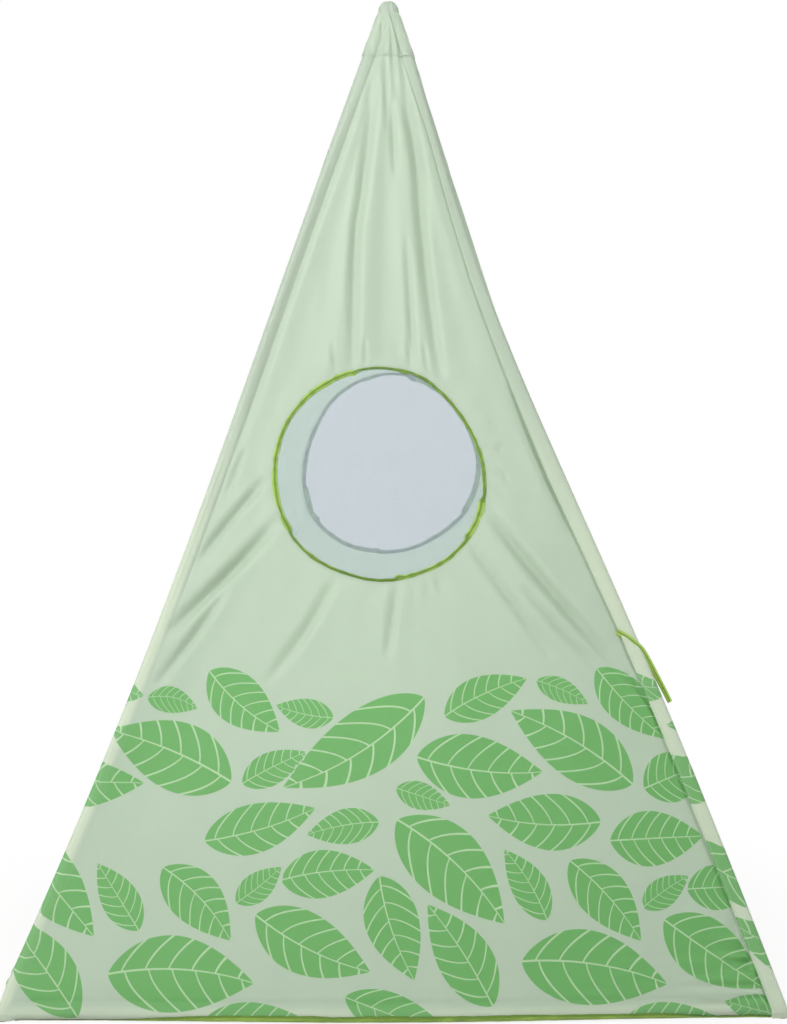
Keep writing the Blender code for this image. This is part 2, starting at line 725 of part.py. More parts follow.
def make_connectors():
    """The moulded piece at each corner: a flat foot and three plugs, for two base rods and the pole."""
    centre = Vector((-corner_reach, -corner_reach, rod_height))
    run = (pole_point(0, 1.0) - pole_point(0, 0.0)).normalized()
    arms = (Vector((1, 0, 0)), Vector((0, 1, 0)), run)
    round_body = bmesh.new()
    bmesh.ops.create_uvsphere(
        round_body, u_segments=12, v_segments=8, radius=FOOT_RADIUS, matrix=Matrix.Translation(centre)
    )
    ball = bpy.data.meshes.new("connector_ball")
    round_body.to_mesh(ball)
    round_body.free()
    floor = Vector((centre.x, centre.y, 0.0))
    pieces = [cylinder_mesh("connector_foot", floor, centre, FOOT_RADIUS, 12), ball]
    for arm in arms:
        collar_end = centre + arm * (CONNECTOR_ARM - FIT_GAP)
        plug_end = centre + arm * (CONNECTOR_ARM + CONNECTOR_SPIGOT)
        pieces.append(cylinder_mesh("connector_collar", centre, collar_end, pole_radius, TUBE_SIDES))
        pieces.append(cylinder_mesh("connector_plug", centre, plug_end, spigot_radius, TUBE_SIDES))
    first = fuse(f"corner_connector_{CORNERS[0][0]}", pieces, DARK_PLASTIC)
    for corner in range(1, 4):
        item = bpy.data.objects.new(f"corner_connector_{CORNERS[corner][0]}", first.data)
        item.matrix_world = wall_turn(corner)
        tent.objects.link(item)


def smooth_route(points, spacing):
    """Points at an even spacing on a smooth curve through the route's own points."""
    ends = [2 * points[0] - points[1], *points, 2 * points[-1] - points[-2]]
    fine = []
    for a, b, c, d in zip(ends, ends[1:], ends[2:], ends[3:]):
        for step in range(20):
            t = step / 20
            square = (2 * a - 5 * b + 4 * c - d) * t**2
            cube = (3 * b - a - 3 * c + d) * t**3
            fine.append((2 * b + (c - a) * t + square + cube) / 2)
    fine.append(points[-1])
    kept = [fine[0]]
    travelled = 0.0
    for before, point in zip(fine, fine[1:]):
        travelled += (point - before).length
        if travelled >= spacing:
            kept.append(point)
            travelled = 0.0
    if (kept[-1] - fine[-1]).length > spacing / 3:
        kept.append(fine[-1])
    else:
        kept[-1] = fine[-1]
    return kept


def make_tie():
    """The tie tape at the door's corner, as a plain tube along its real route."""
    curve = bpy.data.curves.new("door_tie", "CURVE")
    curve.dimensions = "3D"
    curve.bevel_depth = TIE_DIAMETER / 2
    curve.bevel_resolution = 2
    curve.use_fill_caps = True
    curve.materials.append(LIME_CLOTH)
    points = smooth_route([Vector(point) for point in TIE_ROUTE], 3 * TIE_DIAMETER)
    spline = curve.splines.new("POLY")
    spline.points.add(len(points) - 1)
    for knot, point in zip(spline.points, points):
        knot.co = (*point, 1.0)
    item = bpy.data.objects.new("door_tie", curve)
    tent.objects.link(item)


make_wall("window_panel_front", 0, 20, 16, window=True)
make_wall("window_panel_back", 2, 16, 12, window=True)
make_wall("side_panel", 3, 16, 10)
make_door_wall()
make_flap("door_flap_front", -1)
make_flap("door_flap_back", 1)
make_window(0)
make_window(2)
make_tip()
make_groundsheet()
make_connectors()
make_tie()
for number in range(4):
    make_pole(number)
    make_pole_sleeve(number)
    make_base_side(number)
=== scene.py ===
import math
from functools import partial

import bmesh
import bpy
import numpy as np
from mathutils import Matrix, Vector


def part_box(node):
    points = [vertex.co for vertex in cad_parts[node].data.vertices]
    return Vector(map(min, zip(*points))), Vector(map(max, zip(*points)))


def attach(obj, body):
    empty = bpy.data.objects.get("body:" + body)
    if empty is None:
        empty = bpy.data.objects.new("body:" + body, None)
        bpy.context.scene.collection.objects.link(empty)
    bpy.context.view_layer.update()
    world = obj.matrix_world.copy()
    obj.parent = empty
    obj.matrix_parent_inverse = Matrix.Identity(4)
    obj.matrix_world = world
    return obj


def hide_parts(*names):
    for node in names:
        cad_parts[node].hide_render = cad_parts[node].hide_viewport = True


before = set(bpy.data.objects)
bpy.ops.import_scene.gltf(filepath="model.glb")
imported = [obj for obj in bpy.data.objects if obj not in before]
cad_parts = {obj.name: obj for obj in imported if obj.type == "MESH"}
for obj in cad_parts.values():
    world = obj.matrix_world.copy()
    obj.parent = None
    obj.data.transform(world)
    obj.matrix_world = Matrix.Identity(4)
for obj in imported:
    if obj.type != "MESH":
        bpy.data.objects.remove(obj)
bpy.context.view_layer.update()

# ---- Viewpoint and studio -------------------------------------------------------------------------------------
# The camera stands where the photographer stood, 3.6 m from the tent at chest height. The tent stands on a pale
# paper floor against a white background, in the soft light of four square lamps and a pale room.
FRAME_HEIGHT_PIXELS = 1024
FOCAL_PIXELS = 2051.0
SENSOR_HEIGHT = 36.0
CAMERA_PLACE = (-0.0429, -3.6163, 0.9111)
CAMERA_PITCH = -0.0496
CAMERA_YAW = -0.0142

camera_data = bpy.data.cameras.new("camera")
camera_data.sensor_fit = "VERTICAL"
camera_data.sensor_height = SENSOR_HEIGHT
camera_data.lens = SENSOR_HEIGHT * FOCAL_PIXELS / FRAME_HEIGHT_PIXELS
camera = bpy.data.objects.new("camera", camera_data)
camera.location = CAMERA_PLACE
camera.rotation_euler = (math.pi / 2 + CAMERA_PITCH, 0.0, CAMERA_YAW)
bpy.context.scene.collection.objects.link(camera)
bpy.context.scene.camera = camera
bpy.context.scene.view_settings.view_transform = "Standard"


def add_node(tree, kind, inputs=None, **settings):
    """One shader or geometry node with its settings, its values and its links."""
    item = tree.nodes.new(kind)
    for key, value in settings.items():
        setattr(item, key, value)
    for key, value in (inputs or {}).items():
        if isinstance(value, bpy.types.NodeSocket):
            tree.links.new(value, item.inputs[key])
        else:
            item.inputs[key].default_value = value
    return item


def linear(hex_colour):
    """Linear RGBA from an sRGB hex colour."""
    parts = [int(hex_colour[k : k + 2], 16) / 255 for k in (1, 3, 5)]
    return (*(p / 12.92 if p <= 0.04045 else ((p + 0.055) / 1.055) ** 2.4 for p in parts), 1.0)


def math_node(tree, operation, first, second=0.0, third=0.0, clamp=False):
    """The output of one Math node."""
    values = {0: first, 1: second, 2: third}
    return add_node(tree, "ShaderNodeMath", values, operation=operation, use_clamp=clamp).outputs[0]


def map_range(tree, value, low, high, start, end, interpolation="LINEAR"):
    """A value moved from one range to another, as a socket."""
    values = {"Value": value, "From Min": low, "From Max": high, "To Min": start, "To Max": end}
    return add_node(tree, "ShaderNodeMapRange", values, interpolation_type=interpolation).outputs[0]


def seen_share(tree):
    """1 for what the camera sees, reflected and through the cloth too, and 0 for the light that it gives."""
    path = add_node(tree, "ShaderNodeLightPath").outputs
    seen = math_node(tree, "MAXIMUM", path["Is Camera Ray"], path["Is Glossy Ray"])
    return math_node(tree, "MAXIMUM", seen, path["Is Transmission Ray"])


def empty_material(name):
    """A new material with only its output, as (material, tree, output)."""
    material = bpy.data.materials.new(name)
    material.use_nodes = True
    material.node_tree.nodes.clear()
    return material, material.node_tree, add_node(material.node_tree, "ShaderNodeOutputMaterial")


def add_piece(name, mesh, material):
    """A finished mesh as an object at the origin."""
    mesh.materials.clear()
    mesh.materials.append(material)
    piece = bpy.data.objects.new(name, mesh)
    bpy.context.scene.collection.objects.link(piece)
    return piece


# Matt paper: the lamps' light shows on it only near the tent, where it holds the shadow, and it is white further out
FLOOR_HALF = 30.0
SHADOW_NEAR = 0.55
SHADOW_FAR = 1.2
SHADOW_SHARE = 0.22
corners = [(x * FLOOR_HALF, y * FLOOR_HALF, 0.0) for x, y in ((-1, -1), (1, -1), (1, 1), (-1, 1))]
floor_mesh = bpy.data.meshes.new("floor")
floor_mesh.from_pydata(corners, [], [(0, 1, 2, 3)])
paper, tree, output = empty_material("matt_white_paper")
place = add_node(tree, "ShaderNodeTexCoord").outputs["Object"]
reach_out = add_node(tree, "ShaderNodeVectorMath", {0: place}, operation="LENGTH").outputs["Value"]
lit_share = map_range(tree, reach_out, SHADOW_NEAR, SHADOW_FAR, SHADOW_SHARE, 0.0, "SMOOTHSTEP")
white_share = math_node(tree, "MULTIPLY", seen_share(tree), math_node(tree, "SUBTRACT", 1.0, lit_share))
matt = add_node(tree, "ShaderNodeBsdfDiffuse", {"Color": linear("#e6e6e4")}).outputs[0]
white = add_node(tree, "ShaderNodeEmission", {"Color": (1, 1, 1, 1), "Strength": 1.0}).outputs[0]
mixed = add_node(tree, "ShaderNodeMixShader", {0: white_share, 1: matt, 2: white})
tree.links.new(mixed.outputs[0], output.inputs["Surface"])
add_piece("floor", floor_mesh, paper)

ROOM_STRENGTH = 0.29
world = bpy.data.worlds.new("pale_room")
bpy.context.scene.world = world
world.use_nodes = True
tree = world.node_tree
tree.nodes.clear()
strength = map_range(tree, seen_share(tree), 0.0, 1.0, ROOM_STRENGTH, 1.0)
sky = add_node(tree, "ShaderNodeBackground", {"Color": (1, 1, 1, 1), "Strength": strength})
add_node(tree, "ShaderNodeOutputWorld", {"Surface": sky.outputs[0]})

# Lamps as (name, place, aim, side in metres, watts)
LAMPS = (
    ("top_softbox", (-0.7, -2.3, 3.2), (0.0, -0.2, 1.3), 1.0, 76.0),
    ("left_softbox", (-2.4, -1.8, 1.8), (0.0, -0.3, 1.0), 0.8, 35.0),
    ("right_softbox", (3.0, -1.2, 1.6), (0.2, 0.0, 0.9), 1.2, 22.0),
    ("back_softbox", (0.3, 3.2, 2.2), (0.0, 0.0, 0.9), 2.0, 112.0),
)
for name, place, aim, side, watts in LAMPS:
    lamp = bpy.data.lights.new(name, "AREA")
    lamp.shape = "SQUARE"
    lamp.size = side
    lamp.energy = watts
    holder = bpy.data.objects.new(name, lamp)
    holder.location = place
    holder.rotation_euler = (Vector(aim) - Vector(place)).to_track_quat("-Z", "Y").to_euler()
    bpy.context.scene.collection.objects.link(holder)

# ---- Door tie -------------------------------------------------------------------------------------------------
# A lime tape, woven polyester folded lengthwise and stitched shut, 10 mm wide and cut square. It comes out of the
# seam beside the front right corner and hangs down past the pole.
TIE_WIDTH = 0.0098
TIE_THICKNESS = 0.0014
TIE_SPACING = 0.004
TIE_TURN = 30
TIE_ROUTE = (
    (0.3569, -0.3874, 0.5603), (0.3647, -0.3889, 0.5565), (0.3739, -0.3911, 0.5511), (0.3846, -0.3947, 0.5428),
    (0.3955, -0.3961, 0.5327), (0.4062, -0.3993, 0.5148), (0.4157, -0.4037, 0.4963), (0.4227, -0.4077, 0.4825),
    (0.4293, -0.4119, 0.4696), (0.4372, -0.4179, 0.4530),
)
LIME_LIGHT = "#abcd5c"
LIME_DARK = "#5e8128"


def travelled_along(line):
    """Distance travelled from the start at every point of a line."""
    return np.concatenate([[0], np.cumsum(np.linalg.norm(np.diff(line, axis=0), axis=1))])


def smooth_line(points, spacing):
    """Points at about even spacing on a smooth curve through these."""
    points = np.array(points, float)
    ends = np.vstack([2 * points[0] - points[1], points, 2 * points[-1] - points[-2]])
    t = np.linspace(0, 1, 24, endpoint=False)[:, None]
    fine = []
    for a, b, c, d in zip(ends, ends[1:], ends[2:], ends[3:]):
        fine.append((2 * b + (c - a) * t + (2 * a - 5 * b + 4 * c - d) * t**2 + (3 * b - a - 3 * c + d) * t**3) / 2)
    fine = np.vstack([*fine, points[-1:]])
    travelled = travelled_along(fine)
    count = max(int(round(travelled[-1] / spacing)), 1)
    even = np.linspace(0, travelled[-1], count + 1)
    return np.stack([np.interp(even, travelled, column) for column in fine.T], axis=1)


def unit(vectors):
    """The vectors at length 1."""
    return vectors / np.linalg.norm(vectors, axis=-1, keepdims=True)


def square_to(along, facing):
    """Unit vectors square to a line, turned towards facing."""
    return unit(facing - along * (facing * along).sum(-1, keepdims=True))


def ring_faces(rings, around, first=0, closed=False):
    """Quads between rings of points that follow each other, the last joined to the first if closed."""
    low = first + np.arange(rings if closed else rings - 1)[:, None] * around
    high = (low - first + around) % (rings * around) + first
    k, m = np.arange(around), (np.arange(around) + 1) % around
    return np.stack([low + k, low + m, high + m, high + k], axis=-1).reshape(-1, 4)


def add_uv(mesh, name, values):
    """A UV map with these two values at every corner."""
    mesh.uv_layers.new(name=name).data.foreach_set("uv", np.asarray(values, np.float32).ravel())


def sweep_mesh(name, line, facing, section, closed=False, shade=None):
    """A closed band along a line: section is points (across, out) for the whole line or for each point of it, and
    facing the way that out points. UV runs along the line in metres and round the section, and a second map holds the
    shade painted on its folds."""
    count = len(line)
    if section.ndim == 2:
        section = np.repeat(section[None], count, axis=0)
    along = unit(np.roll(line, -1, axis=0) - np.roll(line, 1, axis=0)) if closed else unit(np.gradient(line, axis=0))
    out = square_to(along, facing)
    across = np.cross(along, out)
    sides = section.shape[1]
    rings = line[:, None] + section[..., :1] * across[:, None] + section[..., 1:] * out[:, None]
    faces = ring_faces(count, sides, closed=closed).tolist()
    run = travelled_along(line)
    run = np.append(run, run[-1] + np.linalg.norm(line[0] - line[-1]))
    shares = [(k / sides, (k + 1) / sides) for k in range(sides)]
    corners = []
    for here, there in zip(run, run[1:] if closed else run[1:-1]):
        for low, high in shares:
            corners += [(here, low), (here, high), (there, high), (there, low)]
    if not closed:
        faces.append(tuple(range(sides))[::-1])
        faces.append(tuple((count - 1) * sides + k for k in range(sides)))
        corners += [(0.0, k / sides) for k in range(sides)][::-1] + [(run[-2], k / sides) for k in range(sides)]
    mesh = bpy.data.meshes.new(name)
    mesh.from_pydata(rings.reshape(-1, 3).tolist(), [], faces)
    add_uv(mesh, "tape", corners)
    if shade is not None:
        owner = np.empty(len(mesh.loops), np.int32)
        mesh.loops.foreach_get("vertex_index", owner)
        add_uv(mesh, "folded", np.stack([shade[owner // sides], np.zeros(len(owner))], axis=1))
    fixed = bmesh.new()
    fixed.from_mesh(mesh)
    bmesh.ops.recalc_face_normals(fixed, faces=fixed.faces)
    fixed.to_mesh(mesh)
    fixed.free()
    mesh.shade_smooth()
    mesh.set_sharp_from_angle(angle=math.radians(60))
    return mesh


def uv_map(tree, name):
    """A UV map as a socket, and its two values."""
    flat = add_node(tree, "ShaderNodeUVMap", uv_map=name).outputs[0]
    return flat, *add_node(tree, "ShaderNodeSeparateXYZ", {0: flat}).outputs[:2]


def noise(tree, place, scale, detail):
    """A noise texture's value, as a socket."""
    return add_node(tree, "ShaderNodeTexNoise", {"Vector": place, "Scale": scale, "Detail": detail}).outputs[0]


def blend(tree, share, first, second):
    """A mix of two colours, as a socket."""
    return add_node(tree, "ShaderNodeMix", {0: share, 6: first, 7: second}, data_type="RGBA").outputs[2]


def bumped(tree, height, strength, distance, **under):
    """A bump normal from a height, over another normal if one is given."""
    values = {"Strength": strength, "Distance": distance, "Height": height, **under}
    return add_node(tree, "ShaderNodeBump", values).outputs[0]


def cloth_surface(tree, output, colour, roughness, sheen, through, bump, tint=None):
    """Thin woven cloth: a Principled surface that lets part of the light through from behind."""
    values = {"Base Color": colour, "Roughness": roughness, "Sheen Weight": sheen, "IOR": 1.52, "Normal": bump}
    front = add_node(tree, "ShaderNodeBsdfPrincipled", values)
    front.inputs["Sheen Roughness"].default_value = 0.4
    back = add_node(tree, "ShaderNodeBsdfTranslucent", {"Color": tint or colour, "Normal": bump})
    mixed = add_node(tree, "ShaderNodeMixShader", {0: through, 1: front.outputs[0], 2: back.outputs[0]})
    tree.links.new(mixed.outputs[0], output.inputs["Surface"])


def place_piece(name, mesh, material, slot, body, *nodes):
    """A finished mesh as a piece that rides a body, in place of its CAD nodes if it has any."""
    piece = add_piece(name, mesh, material)
    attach(piece, body)
    if nodes:
        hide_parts(*nodes)
    return piece


# Woven polyester tape, dyed lime: a soft ribbed matt surface with faint random wear, and painted shade down the
# middle where the folded edges meet
TAPE_RIB = 0.0012
tape_cloth, tree, output = empty_material("woven_polyester_tape")
flat, run, round_share = uv_map(tree, "tape")
rib = math_node(tree, "SINE", math_node(tree, "MULTIPLY", run, 2 * math.pi / TAPE_RIB))
# painted shade: a dark stripe down the middle, where the folded edges meet
middle = math_node(tree, "ABSOLUTE", math_node(tree, "SUBTRACT", round_share, 0.25))
painted_shade_and_wear = map_range(tree, middle, 0.03, 0.10, 0.75, 0.0, "SMOOTHSTEP")
wear = math_node(tree, "MULTIPLY", noise(tree, flat, 160.0, 2.0), 0.3)
painted_shade_and_wear = math_node(tree, "ADD", painted_shade_and_wear, wear, clamp=True)
# painted shade on the folds, from the folded map of the bindings and the hem tape
painted_shade_and_wear = math_node(tree, "ADD", painted_shade_and_wear, uv_map(tree, "folded")[1], clamp=True)
lime = blend(tree, painted_shade_and_wear, linear(LIME_LIGHT), linear(LIME_DARK))
cloth_surface(tree, output, lime, 0.62, 0.1, 0.12, bumped(tree, rib, 0.5, 0.0002))
LIME_TAPE = (tape_cloth, "lime_cloth")

# Section of the folded tape, half a width across and half a thickness out, with the groove where its edges meet
TAPE_SECTION = np.array(
    [(-1.0, 0.0), (-0.95, 0.75), (-0.55, 1.0), (-0.2, 0.85), (-0.08, 0.2), (0.08, 0.2), (0.2, 0.85), (0.55, 1.0),
     (0.95, 0.75), (1.0, 0.0), (0.95, -0.75), (0.5, -1.0), (-0.5, -1.0), (-0.95, -0.75)]
)
tie_line = smooth_line(TIE_ROUTE, TIE_SPACING)
tie_along = unit(np.gradient(tie_line, axis=0))
tie_facing = square_to(tie_along, unit(np.array(CAMERA_PLACE) - tie_line))
# the tape turns as it hangs
tie_twist = np.radians(8 + TIE_TURN * np.linspace(0, 1, len(tie_line)) ** 1.3)[:, None]
tie_facing = tie_facing * np.cos(tie_twist) + np.cross(tie_along, tie_facing) * np.sin(tie_twist)
tie_mesh = sweep_mesh("door_tie_tape", tie_line, tie_facing, TAPE_SECTION * (TIE_WIDTH / 2, TIE_THICKNESS / 2))
tie = place_piece("door_tie_tape", tie_mesh, *LIME_TAPE, "tent", "door_tie")

# ---- Poles, base rods, connectors and hub ---------------------------------------------------------------------
# The frame inside the cloth: white PVC tubes, extruded, that push together, and dark grey polypropylene corner
# pieces and hub, injection moulded, that they plug into.


def plain_surface(tree, output, colour, roughness, ior, bump):
    """One Principled surface."""
    values = {"Base Color": colour, "Roughness": roughness, "IOR": ior, "Normal": bump}
    skin = add_node(tree, "ShaderNodeBsdfPrincipled", values)
    tree.links.new(skin.outputs[0], output.inputs["Surface"])


# Extruded PVC: smooth and slightly glossy, faint draw lines and scuffs
white_pvc, tree, output = empty_material("extruded_white_pvc")
scuff = noise(tree, add_node(tree, "ShaderNodeTexCoord").outputs["Object"], 90.0, 4.0)
tone = blend(tree, scuff, linear("#e4e4e0"), linear("#f1f1ee"))
gloss = map_range(tree, scuff, 0.0, 1.0, 0.42, 0.28)
plain_surface(tree, output, tone, gloss, 1.53, bumped(tree, scuff, 0.15, 0.0002))

# Moulded polypropylene: fine spark-eroded texture, low sheen
grey_pp, tree, output = empty_material("moulded_dark_polypropylene")
grain = noise(tree, add_node(tree, "ShaderNodeTexCoord").outputs["Object"], 1400.0, 2.0)
tone = blend(tree, grain, linear("#2b2c2c"), linear("#3a3b3b"))
plain_surface(tree, output, tone, 0.5, 1.49, bumped(tree, grain, 0.35, 0.0002))

for name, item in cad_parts.items():
    if name.startswith(("pole_front", "pole_back", "base_rod")):
        item.material_slots[0].material = white_pvc
    elif name.startswith(("corner_connector", "apex_hub")):
        item.material_slots[0].material = grey_pp

# ---- Walls ----------------------------------------------------------------------------------------------------
# Four triangles of mint polyester taffeta, printed along the foot with a scatter of leaves. Each wraps round the
# pole at its left and is sewn down on its neighbour, and turns under the base rod. The frame's sizes are the CAD's.
BASE_WIDTH = 1.185
HEIGHT = 1.62
CLOTH = 0.0012
SEWN_GAP = 0.0004
FIT_GAP = 0.0003
POLE_RADIUS = 0.007
POLE_BOW = (0.024, 0.037, 0.030, 0.030)
BOW_PEAK = (0.355, 0.68, 0.50, 0.50)
ROD_BOW = 0.019
PLUG_REACH = 0.040
HUB_SPIGOT = 0.022
HUB_BOTTOM = HEIGHT - 0.018
HEM_FLARE = 0.35
FOOT_REACH = 0.0095
WINDOW_WIDTH = 0.347
WINDOW_RISE = 0.371
WINDOW_RADIUS = 0.179
WINDOW_HEIGHT = 0.8165
WINDOW_SHIFT = {0: -0.017, 2: -0.008}
NO_WINDOW = 9.0
DOOR_HEIGHT = 0.95
DOOR_HALF_SPREAD = 0.42
CAP_SEAM = 1.535
SIDES = ("front", "right", "back", "left")
CORNER_SIGNS = ((-1, -1), (1, -1), (1, 1), (-1, 1))
CORNER_NAMES = ("front_left", "front_right", "back_right", "back_left")
OUTWARD = np.array([(0, -1, 0), (1, 0, 0), (0, 1, 0), (-1, 0, 0)], float)

sleeve_radius = (POLE_RADIUS + FIT_GAP) / math.cos(math.pi / 10) + CLOTH
rod_height = sleeve_radius + SEWN_GAP + CLOTH
corner_reach = BASE_WIDTH / 2 - sleeve_radius
wall_lean = math.atan(corner_reach / HEIGHT)
top_height = HUB_BOTTOM - FIT_GAP - POLE_RADIUS * math.sin(math.atan(corner_reach * math.sqrt(2) / HEIGHT))
hub_reach = POLE_RADIUS / math.cos(wall_lean) + FIT_GAP
frame_rise = top_height - rod_height
wall_slant = math.hypot(frame_rise, corner_reach - hub_reach)
pole_length = math.hypot(frame_rise, (corner_reach - hub_reach) * math.sqrt(2))
window_b = (WINDOW_HEIGHT - rod_height) / frame_rise * wall_slant
door_b = (DOOR_HEIGHT - rod_height) / frame_rise * wall_slant
cap_share = (CAP_SEAM - sleeve_radius * math.sin(wall_lean) - rod_height) / frame_rise
cap_b = cap_share * wall_slant


def smooth(edge, value):
    """0 at 0 and below, 1 at the edge and above, with level ends."""
    share = np.clip(value / edge, 0, 1)
    return share * share * (3 - 2 * share)


def bell(value, width):
    """1 at 0, falling off evenly to either side."""
    return np.exp(-((value / width) ** 2))


def ripple(x, y, seed):
    """Smooth random waves about a unit apart, from -1 to 1, the same at every run."""
    table = np.random.RandomState(seed).uniform(-1, 1, (64, 64))
    i, j = np.floor(x).astype(int), np.floor(y).astype(int)
    u, v = smooth(1.0, x - i), smooth(1.0, y - j)
    low = table[i % 64, j % 64] * (1 - u) + table[(i + 1) % 64, j % 64] * u
    high = table[i % 64, (j + 1) % 64] * (1 - u) + table[(i + 1) % 64, (j + 1) % 64] * u
    return low * (1 - v) + high * v


def pole_axis(corner, share):
    """Points on a corner pole's bowed axis, from 0 at its foot to 1 at its top."""
    x, y = CORNER_SIGNS[corner % 4]
    foot = np.array([x * corner_reach, y * corner_reach, rod_height])
    top = np.array([x * hub_reach, y * hub_reach, top_height])
    run = unit(top - foot)
    inward = unit(np.array([-x, -y, 0.0]))
    inward = unit(inward - run * (inward @ run))
    low = PLUG_REACH / pole_length
    free = np.clip((share - low) / (1 - HUB_SPIGOT / pole_length - low), 0, 1)
    power = math.log(0.5) / math.log(BOW_PEAK[corner % 4])
    bow = POLE_BOW[corner % 4] * np.clip(np.sin(math.pi * free**power), 0, None) ** 1.5
    return foot + (top - foot) * share[..., None] + inward * bow[..., None]


def rod_bow(along):
    """How far a base rod bows out, at a distance from the middle of its wall."""
    share = np.clip(np.abs(along) / (corner_reach - PLUG_REACH), 0, 1)
    return ROD_BOW * np.cos(math.pi / 2 * share) ** 2


def wall_normal(wall, share):
    """Outward normal of a wall at a height share."""
    left, right = pole_axis(wall, share), pole_axis(wall + 1, share)
    up = sum(pole_axis(wall + k, share + 0.01) - pole_axis(wall + k, share - 0.01) for k in (0, 1))
    return unit(np.cross(right - left, up))


def half_width(wall, b):
    """Half the distance between a wall's pole axes, b metres up the cloth."""
    share = np.clip(b / wall_slant, 0, 1)
    return np.linalg.norm(pole_axis(wall + 1, share) - pole_axis(wall, share), axis=-1) / 2


def wrap_length(wall, b):
    """Length of cloth that bends round the pole at a wall's left."""
    share = np.clip(b / wall_slant, 0, 1)
    turn = (wall_normal(wall, share) * wall_normal((wall + 3) % 4, share)).sum(-1)
    return np.arccos(np.clip(turn, -1, 1)) * sleeve_radius


def cloth_point(wall, a, b, lift=0.0):
    """Points of a wall's outer face from flat cloth coordinates in metres: a across from the middle, b up from the
    rod. Past the left pole the cloth goes round it and on along the next wall, and below 0 it goes under the rod."""
    a, b = np.broadcast_arrays(np.asarray(a, float), np.asarray(b, float))
    lift = np.broadcast_to(np.asarray(lift, float), a.shape)
    share = np.clip(b / wall_slant, 0, 1)
    left, right = pole_axis(wall, share), pole_axis(wall + 1, share)
    half = np.linalg.norm(right - left, axis=-1) / 2
    inside = np.clip(a, -half, half)
    flare = rod_bow(inside) * np.cos(math.pi / 2 * np.clip(share / HEM_FLARE, 0, 1)) ** 2
    core = (left + right) / 2 + unit(right - left) * inside[..., None] + OUTWARD[wall] * flare[..., None]
    past = np.clip(-half - a, 0, None)
    here, beside = wall_normal(wall, share), wall_normal((wall + 3) % 4, share)
    turn = np.arccos(np.clip((here * beside).sum(-1), -1, 1))
    angle = np.minimum(past / sleeve_radius, turn)
    out = np.sin(turn - angle)[..., None] * here + np.sin(angle)[..., None] * beside
    out = out / np.sin(turn)[..., None]
    into = unit(pole_axis(wall + 3, share) - left)
    core = core + into * np.clip(past - turn * sleeve_radius, 0, None)[..., None]
    under = np.clip(-b, 0, None) / sleeve_radius
    down = unit(out * out[..., 2:] - np.array([0.0, 0.0, 1.0]))
    out = np.cos(under)[..., None] * out + np.sin(under)[..., None] * down
    # at the corners the cloth stands out round the connector's foot instead of following the rod
    level = np.linalg.norm(out[..., :2], axis=-1)
    stand = (FOOT_REACH - 0.0009 * smooth(1.0, under - 0.9)) / (sleeve_radius + lift)
    corner = (b < 0) * (1 - smooth(0.016, half - np.abs(a) - 0.008))
    out[..., :2] *= (1 + corner * (np.maximum(level, stand) / np.maximum(level, 1e-3) - 1))[..., None]
    return core + out * (sleeve_radius + lift)[..., None]


# Folds of each wall: (half width, depth, then the points a, b of the line they follow), all in millimetres
FOLDS = {
    0: (
        (15, -4, -22, 1560, -41, 1357, -51, 1267, -56, 1037),
        (16, -4.5, 21, 1543, 48, 1435, 61, 1292, 73, 1165, 88, 1031), (10, -2, -6, 1598, 1, 1469),
        (10, -2, 6, 1534, 16, 1389), (10, -2.2, 36, 1271, 46, 1039),
        (13, -3.5, -50, 1520, -98, 1368, -163, 1165, -244, 912), (7, -1.6, -236, 895, -264, 825),
        (15, -6, -188, 769, -267, 685, -354, 596), (11, -4, -203, 845, -260, 778, -309, 712),
        (11, -4, -267, 660, -324, 579, -369, 514), (13, -3, -93, 676, -140, 594, -198, 514),
        (15, -6, 153, 794, 242, 666, 347, 533), (11, -3, 125, 735, 185, 641, 245, 550),
        (10, -3, 210, 657, 262, 590, 324, 524), (5, -1.5, 160, 908, 198, 896), (5, -1.5, 158, 872, 193, 849),
        (5, -1.5, 155, 847, 185, 820), (15, -4.5, 210, 1007, 252, 874, 294, 759), (10, -3, 6, 672, -4, 609, -11, 552),
        (5, -1.2, 26, 676, 34, 645), (5, -1.2, 48, 679, 58, 649), (5, -1.2, 68, 683, 78, 655),
        (6, -1.5, -91, 1079, -83, 1029), (6, -1.5, -36, 1090, -34, 1041), (6, -1.5, 36, 1092, 39, 1045),
        (6, -1.5, 61, 1088, 68, 1039), (6, -2.5, 347, 537, 391, 480, 416, 434), (6, -2, 369, 546, 404, 495),
    ),
    1: (
        (18, -4.5, 12, 1560, 22, 1300, 30, 1060), (18, -4.5, -20, 1560, -50, 1300, -75, 1040),
        (16, -3.5, 50, 1480, 130, 1160, 190, 900), (16, -3.5, -70, 1400, -150, 1120, -210, 880),
    ),
    2: (
        (18, -4.5, 18, 1560, 48, 1300, 66, 1045), (18, -4.5, -18, 1560, -50, 1300, -78, 1045),
        (17, -6, -160, 760, -260, 640, -350, 540), (17, -5.5, 155, 760, 250, 640, 360, 530),
        (13, -3, -60, 640, -95, 560, -150, 470), (13, -3, 70, 650, 110, 560, 150, 490),
    ),
    3: (
        (22, -5.5, 12, 1560, 50, 1200, 120, 620), (22, -5.5, -20, 1560, -75, 1150, -170, 560),
        (20, -3.5, -4, 1480, -20, 1100, -30, 480), (18, -4, 70, 1300, 170, 950, 280, 560),
        (18, -4, -110, 1220, -220, 900, -340, 520),
    ),
}
FOLD_STRENGTH = 2.7
FOLD_SHARPNESS = 2.6
FOLD_SHOULDER = 0.32
SLACK = 0.0030
WRINKLE = 0.0010
PUCKER_DEPTH = 0.0020
PUCKER_REACH = 0.022
GATHER_DEPTH = (0.0082, 0.0026, 0.0026, 0.0026)
GATHER_PITCH = 0.0088
HEM_GATHER = 0.0006
HEM_SEAM_B = 0.0165
POLE_SEAM = 0.0125
POLE_SEAM_DEPTH = 0.0016
HEM_SEAM_DEPTH = 0.0011


